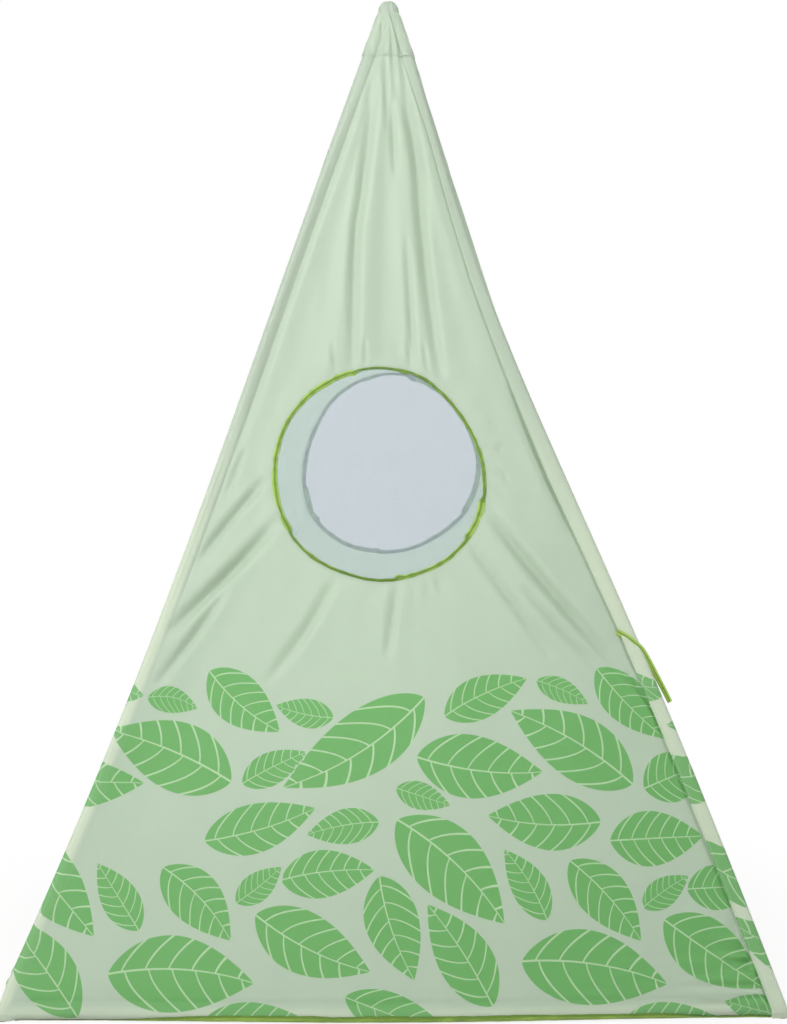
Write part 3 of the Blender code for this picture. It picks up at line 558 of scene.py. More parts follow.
def seam_offset(b):
    """How far past the pole's axis the wrapped cloth is sewn down on the next wall."""
    return np.interp(
        b, (0.0, 0.60, 0.85, 1.20, 1.40, 1.47, 1.54, 1.62, 1.66, 1.69),
        (0.0168, 0.0168, 0.0225, 0.0150, 0.0080, 0.0068, 0.0100, 0.0105, 0.0080, 0.0050),
    )


# How far the pull of the cloth draws each window's edge out, as (degrees from the right, millimetres)
EDGE_PULL = {
    0: (
        (0, 0), (20, -2.8), (30, -4.6), (40, -3.5), (50, -1.5), (62, 3.4), (72, 3.4), (84, 1), (100, -0.8),
        (145, -1.6), (165, 0), (185, 2.2), (198, 4.3), (214, 4.8), (224, 5), (234, 3), (250, -1.5), (270, -0.3),
        (290, -0.5), (305, 3), (320, 4.2), (340, 5), (352, 1.6), (360, 0),
    ),
    2: (
        (0, -5.6), (15, -9.8), (30, -11.2), (45, -6.3), (60, -3), (90, 0), (120, -1), (135, -6.3), (150, -8.4),
        (165, -5.6), (180, -2), (210, -2), (225, -4.9), (240, -7), (255, -4.9), (270, -2.1), (285, 1.4), (300, 6.3),
        (315, 8.4), (330, 9.1), (345, 0.7), (360, -5.6),
    ),
}


def edge_scale(wall, angle):
    """Reach of a window's edge at an angle, as a share of its ellipse."""
    table = np.array(EDGE_PULL[wall], float)
    return 1 + np.interp(np.degrees(angle) % 360, table[:, 0], table[:, 1]) / 1000 / WINDOW_RADIUS


def window_reach(wall, a, b):
    """Distance outside the window's edge along the cloth, or far if the wall has none."""
    if wall not in WINDOW_SHIFT:
        return np.full(np.shape(a), NO_WINDOW)
    across, up = (a - WINDOW_SHIFT[wall]) / (WINDOW_WIDTH / 2), (b - window_b) / (WINDOW_RISE / 2)
    return (np.hypot(across, up) / edge_scale(wall, np.arctan2(up, across)) - 1) * WINDOW_RADIUS


def cloth_lift(wall, a, b):
    """How far the folds and wrinkles lift the cloth off the plain wall."""
    half = half_width(wall, b)
    lift = np.zeros(np.shape(a))
    for half_breadth, depth, *route in FOLDS[wall]:
        half_breadth = half_breadth / 1000
        line = smooth_line(np.pad(np.reshape(route, (-1, 2)) / 1000, ((0, 0), (0, 1))), 0.02)[:, :2]
        near = np.full(np.shape(a), 9.0)
        share = np.zeros(np.shape(a))
        for k, (start, end) in enumerate(zip(line, line[1:])):
            run = end - start
            t = np.clip(((a - start[0]) * run[0] + (b - start[1]) * run[1]) / (run @ run), 0, 1)
            gap = np.hypot(a - start[0] - run[0] * t, b - start[1] - run[1] * t)
            share = np.where(gap < near, (k + t) / (len(line) - 1), share)
            near = np.minimum(near, gap)
        valley = np.exp(-((near / half_breadth) ** 2) * FOLD_SHARPNESS)
        profile = valley - FOLD_SHOULDER * bell(near / half_breadth, 2.0)
        lift += FOLD_STRENGTH * (depth / 1000) * profile * np.sin(math.pi * np.clip(share, 0.02, 0.98)) ** 0.5
    # slack between the folds, drawn out along the pull from the tip
    lean = a / np.maximum(half, 0.02)
    lift += SLACK * ripple(lean * 5.0 + 11, b / 0.42 + 3, 40 + wall)
    lift += WRINKLE * ripple(a / 0.035 + 5, b / 0.16 + 9, 50 + wall)
    # short puckers that run out from the window's binding
    away = window_reach(wall, a, b)
    turn = np.arctan2(b - 0.85, a)
    fading = np.exp(-np.clip(away, 0, None) / PUCKER_REACH)
    lift += PUCKER_DEPTH * fading * ripple(turn * 13 + 20, away / 0.05, 60 + wall)
    edge = np.minimum(half - np.abs(a), away)
    lift *= 0.25 + 0.75 * smooth(0.03, np.minimum(edge, 1.0))
    # gathers at the seam on the right, close together near the foot and deepest on the front
    to_seam = np.clip(half - seam_offset(b) - a, 0, None)
    foot = 1 - smooth(0.20, b)
    depth = (0.0008 + GATHER_DEPTH[wall] * foot) * smooth(0.008, to_seam)
    gathers = ripple(b / GATHER_PITCH + 7, to_seam / 0.09, 70 + wall)
    lift += depth * np.exp(-to_seam / (0.020 + 0.065 * foot)) * gathers
    # short gathers above the hem
    lift += HEM_GATHER * np.exp(-np.clip(b, 0, None) / 0.018) * ripple(a / 0.016, b / 0.05, 80 + wall)
    # the seams of the channels draw the cloth in beside the pole at the left and above the base rod
    lift -= POLE_SEAM_DEPTH * smooth(0.4, b - 0.45) * bell(a + half - POLE_SEAM, 0.0028)
    lift -= HEM_SEAM_DEPTH * bell(b - HEM_SEAM_B, 0.0042) * smooth(0.04, edge)
    return lift * smooth(0.03, b + 0.012)


# The print as (base a, base b, tip a, tip b, widest, bend): millimetres on the flat cloth, and the midrib's bend to the
# left in thousandths of its length. Every wall has the same leaves, and what crosses the left pole shows on the next.
LEAVES = (
    (-388, 487, -310, 469, 42, 110), (-292, 529, -180, 430, 78, -60), (-97, 452, -187, 473, 46, 50),
    (-255, 352, -447, 435, 108, -42), (45, 482, -175, 342, 101, 70), (-237, 349, -138, 398, 52, 25),
    (-578, 345, -389, 351, 78, 20), (-292, 260, -123, 310, 76, -40), (-26, 288, -136, 269, 54, -40),
    (-590, 268, -453, 113, 90, 0), (-386, 123, -455, 226, 56, 0), (-354, 219, -246, 108, 77, 60),
    (-240, 165, -173, 220, 44, -20), (-173, 200, -31, 215, 72, 40), (-210, 147, -35, 63, 91, -55),
    (-24, 205, 31, 50, 80, -50), (-471, -6, -596, 148, 84, -20), (-428, 57, -208, 45, 113, 62),
    (-292, -24, -118, -14, 74, 0), (-72, 26, 90, -34, 62, 0), (-502, 508, -394, 490, 56, 0),
    (77, 452, 208, 512, 66, 45), (223, 508, 302, 469, 38, 40), (318, 526, 421, 413, 70, -35),
    (366, 342, 180, 460, 99, -50), (33, 388, 228, 363, 98, -52), (384, 335, 484, 377, 78, 0),
    (1, 340, 84, 312, 42, 0), (315, 284, 141, 296, 86, 50), (329, 255, 473, 261, 84, 0), (3, 291, 166, 132, 106, 60),
    (230, 137, 166, 244, 54, -50), (267, 225, 373, 103, 75, 45), (377, 153, 448, 200, 44, 30),
    (445, 180, 556, 186, 68, 0), (148, 12, 49, 163, 80, -30), (192, 76, 412, 39, 109, 55),
    (409, 134, 558, 32, 90, -10), (330, -36, 486, -10, 74, 0), (600, -14, 496, 13, 48, 0),
    (-646, 92, -640, 26, 40, 0),
)
LEAF_LENGTHS = np.array([math.hypot(leaf[2] - leaf[0], leaf[3] - leaf[1]) for leaf in LEAVES]) / 1000
LEAF_SHAPE = 0.46
LEAF_BASE = 0.72
LEAF_TIP = 1.03
LEAF_HEIGHT = 0.762
LEAF_MARGIN = 0.12
OFF_LEAF = -1.0


def leaf_places(a, b):
    """Leaf coordinates of points of cloth in every leaf, for a leaf of one shape: s from base to tip, t across from the
    midrib, and how far the midrib bends."""
    rows = np.array(LEAVES, float) / 1000
    run = rows[:, 2:4] - rows[:, :2]
    length = np.linalg.norm(run, axis=1)
    run = run / length[:, None]
    da, db = a[:, None] - rows[:, 0], b[:, None] - rows[:, 1]
    s = (da * run[:, 0] + db * run[:, 1]) / length
    t = (db * run[:, 0] - da * run[:, 1]) * LEAF_SHAPE / rows[:, 4]
    bend = rows[:, 5] * length * LEAF_SHAPE / rows[:, 4]
    return s, t - bend * 4 * s * (1 - s), bend * np.ones_like(s)


def grid_faces(rows, columns):
    """Quads of a grid whose rows run to the right and upwards, seen from outside."""
    i, j = np.meshgrid(np.arange(rows - 1), np.arange(columns - 1), indexing="ij")
    low = (i * columns + j).ravel()
    return np.stack([low, low + 1, low + columns + 1, low + columns], axis=1)


def cloth_mesh(name, points, a, b, faces, thickness=0.0006, extra=None):
    """A cloth mesh with its flat and its leaf coordinates as UV maps, given its thickness inwards. extra is the name of
    one more map and its value at each point."""
    used = np.zeros(len(points), bool)
    for face in faces:
        used[list(face)] = True
    number = np.cumsum(used) - 1
    corners = np.concatenate([number[list(face)] for face in faces])
    sizes = np.array([len(face) for face in faces])
    points, a, b = points[used], a[used], b[used]
    mesh = bpy.data.meshes.new(name)
    mesh.vertices.add(len(points))
    mesh.vertices.foreach_set("co", points.astype(np.float32).ravel())
    mesh.loops.add(len(corners))
    mesh.loops.foreach_set("vertex_index", corners.astype(np.int32))
    mesh.polygons.add(len(faces))
    starts = np.cumsum(sizes) - sizes
    mesh.polygons.foreach_set("loop_start", starts.astype(np.int32))
    mesh.update(calc_edges=True)
    add_uv(mesh, "cloth", np.stack([a[corners], b[corners]], axis=1))
    if extra:
        add_uv(mesh, extra[0], np.stack([extra[1].ravel()[used][corners], np.zeros(len(corners))], axis=1))
    s, t, bend = leaf_places(a, b)
    owner = np.repeat(np.arange(len(faces)), sizes)
    middle_s, middle_t = (np.add.reduceat(value[corners], starts, axis=0) / sizes[:, None] for value in (s, t))
    profile = np.clip(middle_s, 0.002, 1) ** LEAF_BASE * np.clip(1 - middle_s, 0.002, 1) ** LEAF_TIP * LEAF_HEIGHT
    outside = np.abs(middle_t + 2 * bend[:1] * middle_s * (1 - middle_s)) - profile
    outside += 3 * np.clip(np.abs(middle_s - 0.5) - 0.5, 0, None)
    nearest = outside.argmin(axis=1)
    printed = outside[np.arange(len(faces)), nearest] < LEAF_MARGIN
    leaf = np.stack([s[corners, nearest[owner]], t[corners, nearest[owner]]], axis=1)
    leaf[~printed[owner]] = (OFF_LEAF, 0.0)
    add_uv(mesh, "leaf", leaf)
    # small leaves have their veins closer together for their length
    pitch = np.interp(LEAF_LENGTHS, (0.10, 0.18), (0.132, 0.160))
    add_uv(mesh, "bow", np.stack([bend[0, nearest[owner]], pitch[nearest[owner]]], axis=1))
    mesh.validate()
    mesh.shade_smooth()
    return thickened(mesh, thickness)


def thickened(mesh, thickness):
    """The mesh with its thickness put in on the inner side."""
    holder = bpy.data.objects.new(mesh.name, mesh)
    bpy.context.scene.collection.objects.link(holder)
    shell = holder.modifiers.new("thickness", "SOLIDIFY")
    shell.thickness = thickness
    shell.offset = -1.0
    evaluated = holder.evaluated_get(bpy.context.evaluated_depsgraph_get())
    solid = bpy.data.meshes.new_from_object(evaluated)
    bpy.data.objects.remove(holder, do_unlink=True)
    solid.name = mesh.name
    solid.shade_smooth()
    solid.set_sharp_from_angle(angle=math.radians(70))
    return solid


def steps(*parts):
    """Values through these (end, step) stretches, the first one being (start, None)."""
    values = [parts[0][0]]
    for end, step in parts[1:]:
        count = max(int(round(abs(end - values[-1]) / step)), 1)
        values += list(np.linspace(values[-1], end, count + 1)[1:])
    return np.array(values)


UNDER_ROD = sleeve_radius * math.radians(108)
WALL_ROWS = steps((-UNDER_ROD, None), (0.0, 0.0021), (0.13, 0.0030), (0.75, 0.0065), (cap_b, 0.0080))
FACE_COLUMNS = 128
STRIP_THICKNESS = 0.0020
FOOT_ROOM = 0.0008
PRESSED_DEPTH = 0.0025
CLOTH_CLEAR = 0.0007


def spread(left, right, count, by_left, by_right):
    """Positions across every row, closer together beside the poles."""
    near = np.array((0.0, 0.0025, 0.005, 0.0072, 0.009, 0.0105, 0.012, 0.0135, 0.0155, 0.0185, 0.023))
    start = left[:, None] + near if by_left else left[:, None]
    end = right[:, None] - near[::-1] if by_right else right[:, None]
    middle = start[:, -1:] + (end[:, :1] - start[:, -1:]) * np.linspace(0, 1, count + 1)[1:-1]
    return np.concatenate([start, middle, end], axis=1)


def right_end(wall, rows):
    """Where a wall ends under the strip sewn down on it."""
    return half_width(wall, rows) - np.maximum(seam_offset(rows) - 0.007, 0.0)


def wall_grid(wall, rows, face):
    """Flat coordinates of a wall's grid: the sewn strip, the bend round the pole, and the wall's face."""
    half = half_width(wall, rows)
    bend = wrap_length(wall, rows)
    strip = bend + seam_offset(rows)
    sewn = [-half - strip, -half - strip + 0.0008] + [-half - bend - seam_offset(rows) * k / 3 for k in (2, 1, 0)]
    round_pole = [-half - bend * k / 8 for k in range(7, 0, -1)]
    a = np.concatenate([np.stack(sewn + round_pole, axis=1), face], axis=1)
    return a, np.repeat(rows[:, None], a.shape[1], axis=1)


def wall_lift(wall, a, b):
    """Folds on the wall's face, and the sewn strip raised a little over the next wall's edge."""
    half = half_width(wall, b)
    past = -half - a
    reach = wrap_length(wall, b) + seam_offset(b)
    strip = STRIP_THICKNESS * smooth(0.012, past) * (past < reach - 0.0004)
    strip *= (0.4 + 0.6 * smooth(0.05, b)) * (1 - 0.5 * smooth(0.5, b - 1.0))
    lift = np.where(past > 0, strip, cloth_lift(wall, a, b))
    # under the corners the cloth goes round the connectors' feet
    lift += FOOT_ROOM * (1 - smooth(0.03, np.clip(half - np.abs(a), 0, None))) * smooth(0.008, -b)
    # the next wall's seam presses this one down just before its edge
    to_seam = half - seam_offset(b) - a
    pressed = PRESSED_DEPTH * bell(to_seam, 0.0026) + 0.0006 * (to_seam < -0.001)
    return lift - pressed * smooth(0.02, b - 0.004)


def wall_points(wall, a, b):
    """Points of the outside of a wall, kept off the floor."""
    points = cloth_point(wall, a, b, wall_lift(wall, a, b))
    points[:, 2] = np.maximum(points[:, 2], CLOTH_CLEAR)
    return points


def backing(wall, a, b):
    """1 where the cloth lies double or on a white tube, where a paler tone is painted in for the light that these give
    back and less light comes through, and 0 where it hangs free.
    """
    on_pole = bell(np.clip(a + half_width(wall, b) - 0.002, 0, None), 0.005)
    return np.maximum(on_pole * (1 - smooth(0.5, b - 0.6)), 0.7 * (1 - smooth(0.006, b - 0.006)))


# Polyester taffeta, plain woven and calendered: thin, smooth and faintly satin, with light coming through it. The
# threads are 0.13 mm apart, too fine to show, so they are drawn 0.9 mm apart.
THREAD_PITCH = 0.0009
MINT = "#ced8cc"
MINT_SHADE = "#c6d1c4"
MINT_PAINTED_LIT = "#e1ead4"
LEAF_GREEN = "#89c281"
VEIN_GREEN = "#c9e2bc"
MINT_GLOW = "#e3ecdf"
LEAF_GLOW = "#9dd68e"
EDGE_SHARPNESS = 260.0
VEIN_SHARPNESS = 400.0
taffeta, tree, output = empty_material("printed_polyester_taffeta")
calc = partial(math_node, tree)
flat, across, up = uv_map(tree, "cloth")
warp, weft = (calc("SINE", calc("MULTIPLY", value, 2 * math.pi / THREAD_PITCH)) for value in (across, up))
weave = calc("MULTIPLY", warp, weft)
streaky = add_node(tree, "ShaderNodeMapping", {"Vector": flat, "Scale": (260.0, 9.0, 1.0)}).outputs[0]
slub = noise(tree, streaky, 1.0, 3.0)
tone = calc("ADD", calc("MULTIPLY", slub, 0.6), calc("MULTIPLY", noise(tree, flat, 7.0, 2.0), 0.4))
mint = blend(tree, tone, linear(MINT_SHADE), linear(MINT))
backed = uv_map(tree, "backed")[1]
# where the cloth lies double or on a white tube a paler tone is painted in, for the light that these give back
mint = blend(tree, calc("MULTIPLY", backed, 0.75), mint, linear(MINT_PAINTED_LIT))
# the print's outline, about a midrib that bends twice as far
_, s, from_rib = uv_map(tree, "leaf")
_, bow, vein_pitch = uv_map(tree, "bow")
t = calc("ABSOLUTE", from_rib)
to_tip = calc("SUBTRACT", 1.0, s)
bow = calc("MULTIPLY", calc("MULTIPLY", bow, 2.0), calc("MULTIPLY", s, to_tip))
from_middle = calc("ABSOLUTE", calc("ADD", from_rib, bow))
base_side = calc("POWER", calc("MAXIMUM", s, 0.0), LEAF_BASE)
tip_side = calc("POWER", calc("MAXIMUM", to_tip, 0.0), LEAF_TIP)
shape = calc("MULTIPLY", calc("MULTIPLY", base_side, tip_side), LEAF_HEIGHT)
in_leaf = calc("MULTIPLY_ADD", calc("SUBTRACT", shape, from_middle), EDGE_SHARPNESS, 0.5, clamp=True)
in_leaf = calc("MULTIPLY", in_leaf, calc("GREATER_THAN", s, OFF_LEAF / 2))
# side veins leave the midrib at about 65 degrees, curve towards the tip and widen on their way to the edge
sweep = calc("MULTIPLY", t, calc("MULTIPLY_ADD", t, 2.4, 0.34))
side = calc("MULTIPLY", calc("SIGN", from_rib), 0.012)
vein_at = calc("SUBTRACT", calc("ADD", s, side), sweep)
vein_at = calc("DIVIDE", calc("SUBTRACT", vein_at, 0.02), vein_pitch)
from_vein = calc("ABSOLUTE", calc("SUBTRACT", calc("FRACT", vein_at), 0.5))
from_vein = calc("MULTIPLY", from_vein, vein_pitch)
edge_share = calc("DIVIDE", from_middle, calc("MAXIMUM", shape, 0.01), clamp=True)
vein_half = calc("MULTIPLY_ADD", edge_share, 0.0060, 0.0046)
in_vein = calc("MULTIPLY_ADD", calc("SUBTRACT", vein_half, from_vein), VEIN_SHARPNESS, 0.5, clamp=True)
rib_half = calc("MULTIPLY_ADD", s, -0.0035, 0.0068)
in_rib = calc("MULTIPLY_ADD", calc("SUBTRACT", rib_half, t), VEIN_SHARPNESS, 0.5, clamp=True)
in_vein = calc("MAXIMUM", in_vein, in_rib)
printed = blend(tree, in_leaf, mint, blend(tree, in_vein, linear(LEAF_GREEN), linear(VEIN_GREEN)))
ink = calc("MULTIPLY", in_leaf, calc("SUBTRACT", 1.0, in_vein))
glow = blend(tree, ink, linear(MINT_GLOW), linear(LEAF_GLOW))
through = calc("MULTIPLY_ADD", backed, -0.10, 0.55)
rough = calc("MULTIPLY_ADD", ink, 0.06, calc("MULTIPLY_ADD", slub, 0.10, 0.42))
fine = bumped(tree, weave, 0.10, 0.0001)
bump = bumped(tree, noise(tree, flat, 38.0, 3.0), 0.25, 0.0010, Normal=fine)
cloth_surface(tree, output, printed, rough, 0.12, through, bump, tint=glow)
MINT_CLOTH = (taffeta, "mint_cloth")


def make_sheet(name, mesh, cloth, nodes, flat, area, rests_on, body="tent", held="stretched"):
    """A finished piece of cloth on its body, in place of its CAD nodes. cloth is its material and its slot, and the
    slot is not used.
    """
    piece = place_piece(name, mesh, *cloth, body, *nodes)


LEAST_SHARE = 0.301


def flat_size(a, b, faces):
    """Width, length and area of the cut on the flat cloth."""
    area = 0.0
    for size in sorted({len(face) for face in faces}):
        same = np.array([face for face in faces if len(face) == size])
        x, y = a[same], b[same]
        area += float(np.abs((x * np.roll(y, -1, axis=1) - y * np.roll(x, -1, axis=1)).sum(axis=1)).sum() / 2)
    used = np.unique(np.concatenate([np.ravel(face) for face in faces]))
    width, length = np.ptp(a[used]), np.ptp(b[used])
    # the door wall is a little under the least share of its rectangle that a sheet may state
    return (round(float(width), 4), round(float(length), 4)), round(max(area, LEAST_SHARE * width * length), 5)


def cut_window(wall, a, b, faces):
    """Move the grid points near the window's edge onto it, and leave out what lies inside."""
    shift = WINDOW_SHIFT[wall]
    radii = np.array([WINDOW_WIDTH / 2, WINDOW_RISE / 2]) - 0.0035
    da, db = (a - shift) / radii[0], (b - window_b) / radii[1]
    direction = np.stack([np.abs(da), np.abs(db)]) / np.maximum(np.hypot(da, db), 1e-6)
    reach = np.hypot(da, db) / edge_scale(wall, np.arctan2(db, da))
    gap = (reach - 1) * radii.mean()
    near = np.abs(gap) < 0.52 * (direction[0] * 0.0042 + direction[1] * 0.0072)
    a = np.where(near, shift + (a - shift) / reach, a)
    b = np.where(near, window_b + (b - window_b) / reach, b)
    inside = (gap < 0) & ~near
    kept = []
    for face in faces.tolist():
        out = [v for v in face if not inside[v]]
        if len(out) == 4 and not all(near[v] for v in face):
            kept.append(face)
        elif len(out) == 3 and not all(near[v] for v in out):
            kept.append(out)
    return a, b, kept


for wall in (0, 2, 3):
    face = spread(-half_width(wall, WALL_ROWS), right_end(wall, WALL_ROWS), FACE_COLUMNS, True, True)
    a, b = wall_grid(wall, WALL_ROWS, face)
    faces = grid_faces(*a.shape)
    a, b = a.ravel(), b.ravel()
    if wall in WINDOW_SHIFT:
        name, node = f"window_wall_{SIDES[wall]}", f"window_panel_{SIDES[wall]}"
        a, b, faces = cut_window(wall, a, b, faces)
    else:
        name, node = f"side_wall_{SIDES[wall]}", "side_panel"
        faces = faces.tolist()
    mesh = cloth_mesh(name, wall_points(wall, a, b), a, b, faces, extra=("backed", backing(wall, a, b)))
    poles = [f"pole_{CORNER_NAMES[corner % 4]}_middle" for corner in (wall, wall + 1)]
    make_sheet(name, mesh, MINT_CLOTH, [node], *flat_size(a, b, faces), poles)

# ---- Door wall and curtains -----------------------------------------------------------------------------------
# The wall at the right has the door: a header over two wings, and two curtains of the same printed taffeta that
# meet at a slit. Each curtain is sewn to its wing along a slanted line, on which it folds outwards.
FLAP_BOTTOM = 0.026
FLAP_HINGE_GAP = 0.0008
FLAP_SLIT_GAP = 0.0010
FLAP_TOP_TRIM = 0.012
FLAP_HEM = 0.012
FLAP_DOUBLE = 0.0006
FLAP_WAVE = 0.006
FLAP_SLACK = 0.0035
FLAP_WRINKLE = 0.0012
FLAP_THICKNESS = 0.0009
FLAP_ROWS = 140
WING_COLUMNS = 60
FOLD_PULL = 0.05
HEADER_PULL = 0.02
door_top = cloth_point(1, 0.0, door_b)
door_foot_b = 0.0049
door_feet = {sign: cloth_point(1, sign * DOOR_HALF_SPREAD, door_foot_b) for sign in (-1, 1)}


def fold_edge(b):
    """Distance of the curtains' fold lines from the middle of the door wall, b metres up."""
    return DOOR_HALF_SPREAD * np.clip((door_b - b) / (door_b - door_foot_b), 0, None)


def fold_point(sign, b):
    """Points of a curtain's straight fold line."""
    share = np.clip((np.asarray(b, float) - door_foot_b) / (door_b - door_foot_b), 0, 1)[..., None]
    return door_feet[sign] + (door_top - door_feet[sign]) * share


def fold_shift(sign, b):
    """The way from the draped wall to the straight fold line."""
    a = sign * fold_edge(b)
    return fold_point(sign, b) - cloth_point(1, a, b, wall_lift(1, a, b))


lower_rows = steps((-UNDER_ROD, None), (0.0, 0.0021), (0.13, 0.0035), (0.75, 0.0070), (door_b, 0.0080))
upper_rows = steps((door_b, None), (cap_b, 0.0080))
edge, middle = fold_edge(lower_rows), np.zeros(len(upper_rows))
left_part, _ = wall_grid(1, lower_rows, spread(-half_width(1, lower_rows), -edge, WING_COLUMNS, True, False))
right_part = spread(edge, right_end(1, lower_rows), WING_COLUMNS, False, True)
header, _ = wall_grid(1, upper_rows, spread(-half_width(1, upper_rows), middle, WING_COLUMNS, True, False))
header_right = spread(middle, right_end(1, upper_rows), WING_COLUMNS, False, True)[:, 1:]
header = np.concatenate([header, header_right], axis=1)
a_parts, b_parts, faces, count = [], [], [], 0
for part, rows in ((left_part, lower_rows), (right_part, lower_rows), (header, upper_rows)):
    faces += (grid_faces(*part.shape) + count).tolist()
    a_parts.append(part.ravel())
    b_parts.append(np.repeat(rows, part.shape[1]))
    count += part.size
a, b = np.concatenate(a_parts), np.concatenate(b_parts)
points = wall_points(1, a, b)
# beside the fold lines the cloth is drawn straight between the top of the slit and the hem
pull = bell(np.clip(np.abs(a) - fold_edge(b), 0, None), FOLD_PULL) * smooth(0.02, b)
pull *= np.where(b < door_b, 1.0, bell(b - door_b, HEADER_PULL))
for sign in (-1, 1):
    points += np.where((np.where(a < 0, -1, 1) == sign)[:, None], fold_shift(sign, b) * pull[:, None], 0.0)
flat, area = flat_size(a, b, faces)
joined = {tuple(np.round(point, 7)): k for k, point in reversed(list(enumerate(points.tolist())))}
same = np.array([joined[tuple(np.round(point, 7))] for point in points.tolist()])
faces = [[int(same[v]) for v in face] for face in faces]
faces = [face for face in faces if len(set(face)) == 4]
mesh = cloth_mesh("door_wall_right", points, a, b, faces, extra=("backed", backing(1, a, b)))
poles = ["pole_front_right_middle", "pole_back_right_middle"]
make_sheet("door_wall_right", mesh, MINT_CLOTH, ["door_panel"], flat, area, poles)

curtain_rows = {}
middle = (door_feet[-1] + door_feet[1]) / 2
outward = unit(np.cross(door_feet[1] - door_feet[-1], door_top - middle))
high = 1 - FLAP_TOP_TRIM / np.linalg.norm(door_top - middle)
across = np.concatenate([np.linspace(0, 0.9, 50), np.linspace(0.9, 1.0, 9)[1:]])[None, :]
for sign, side in ((-1, "front"), (1, "back")):
    foot = door_feet[sign]
    to_slit = (middle - foot) / np.linalg.norm(middle - foot)
    low = (FLAP_BOTTOM - foot[2]) / (door_top[2] - foot[2])
    up = np.linspace(low, high, FLAP_ROWS)[:, None]
    hinge = foot + (door_top - foot) * up[..., None] + to_slit * FLAP_HINGE_GAP
    slit = middle + (door_top - middle) * up[..., None] - to_slit * FLAP_SLIT_GAP / 2
    width = np.linalg.norm(slit - hinge, axis=-1)
    wave = np.sin(math.pi * across) ** 2 * np.sin(2 * math.pi * across)
    depth = FLAP_WAVE * wave * smooth(0.25, up - low) * smooth(0.2, high - up)
    free = np.sin(math.pi * across)
    depth = depth + FLAP_SLACK * free * ripple(across * 4 + 3 * sign, up * 3.1 + 9, 90) * (1 - up)
    depth = depth + FLAP_WRINKLE * free * ripple(across * 11 + 5, up * 9 + sign, 91)
    # the hems beside the slit and at the foot lie double
    above_foot = (up - low) * 0.92
    depth = depth + FLAP_DOUBLE * ((1 - across) * width < FLAP_HEM) + FLAP_DOUBLE * (above_foot < FLAP_HEM)
    points = hinge + (slit - hinge) * across[..., None] + outward * depth[..., None]
    sewn = np.argmax((1 - across) * width < FLAP_HEM - 0.002, axis=1)
    side_row = points[np.arange(len(up)), sewn][: int(len(up) * 0.97)] + outward * 0.0003
    foot_row = points[int(np.argmax(above_foot[:, 0] > FLAP_HEM)) - 1][: sewn[0]] + outward * 0.0003
    curtain_rows[side] = [side_row, foot_row]
    b = door_foot_b + (door_b - door_foot_b) * up * np.ones_like(across)
    a = sign * fold_edge(b) * (1 - across)
    faces = grid_faces(*a.shape)[:, ::-sign].tolist()
    name, body = f"door_curtain_{side}", f"door_flap_{side}"
    mesh = cloth_mesh(name, points.reshape(-1, 3), a.ravel(), b.ravel(), faces, FLAP_THICKNESS)
    flat, area = flat_size(a.ravel(), b.ravel(), faces)
    make_sheet(name, mesh, MINT_CLOTH, [body], flat, area, ["door_wall_right"], body=body)

# ---- Window nets and bindings ---------------------------------------------------------------------------------
# A round of white knitted net closes each window. A lime tape is folded over its edge and the cut edge of the wall,
# and stitched through. The near tape is uneven: it twists, gathers and overlaps at its joints.
WINDOW_RADII = np.array([WINDOW_WIDTH / 2, WINDOW_RISE / 2])
NET_RADII = WINDOW_RADII - 0.0026
NET_SAG = 0.0025
NET_THICKNESS = 0.0003
NET_STREAK = 0.006
TAPE_LIFT = 0.0004
# Binding of the near window by angle from the right, in degrees: width in millimetres, tilt in degrees, and the
# shade painted on its folds, from 0 to 1
BINDING_TURNS = (
    (0, 7.0, -10, 0.45), (18, 6.4, 0, 0.55), (40, 6.2, 10, 0.5), (62, 5.6, 25, 0.75), (71, 4.0, 40, 0.9),
    (74, 8.6, 0, 0.3), (78, 5.6, 10, 0.6), (84, 4.0, 45, 1.0), (98, 4.2, 40, 0.95), (101, 6.0, 20, 0.7),
    (103, 11.5, 0, 0.3), (106, 9.6, 0, 0.0), (118, 10.4, -5, 0.0), (132, 8.6, 0, 0.15), (150, 7.0, 5, 0.4),
    (165, 8.4, 0, 0.1), (185, 9.2, 0, 0.05), (200, 9.4, 5, 0.1), (211, 10.6, 0, 0.25), (214, 5.4, 25, 0.8),
    (222, 7.0, 10, 0.45), (240, 6.0, 30, 0.65), (256, 5.0, 45, 0.95), (277, 5.4, 35, 0.95), (279, 10.2, 0, 0.35),
    (283, 7.4, 5, 0.1), (292, 7.0, 10, 0.45), (305, 7.4, 5, 0.3), (318, 6.8, 10, 0.5), (322, 7.0, 10, 0.6),
    (324, 12.0, -8, 0.3), (327, 10.6, -8, 0.0), (341, 10.6, -4, 0.0), (344, 12.2, 0, 0.3), (347, 6.0, 15, 0.8),
    (360, 7.0, -10, 0.45),
)
BINDING_SECTION = np.array(
    [(-1.0, 0.0), (-0.88, 0.55), (-0.5, 0.95), (0.0, 1.0), (0.5, 0.9), (0.88, 0.5), (1.0, 0.0), (0.9, -0.6),
     (0.4, -1.0), (-0.4, -1.0), (-0.9, -0.6)]
)
BINDING_THICKNESS = 0.0013

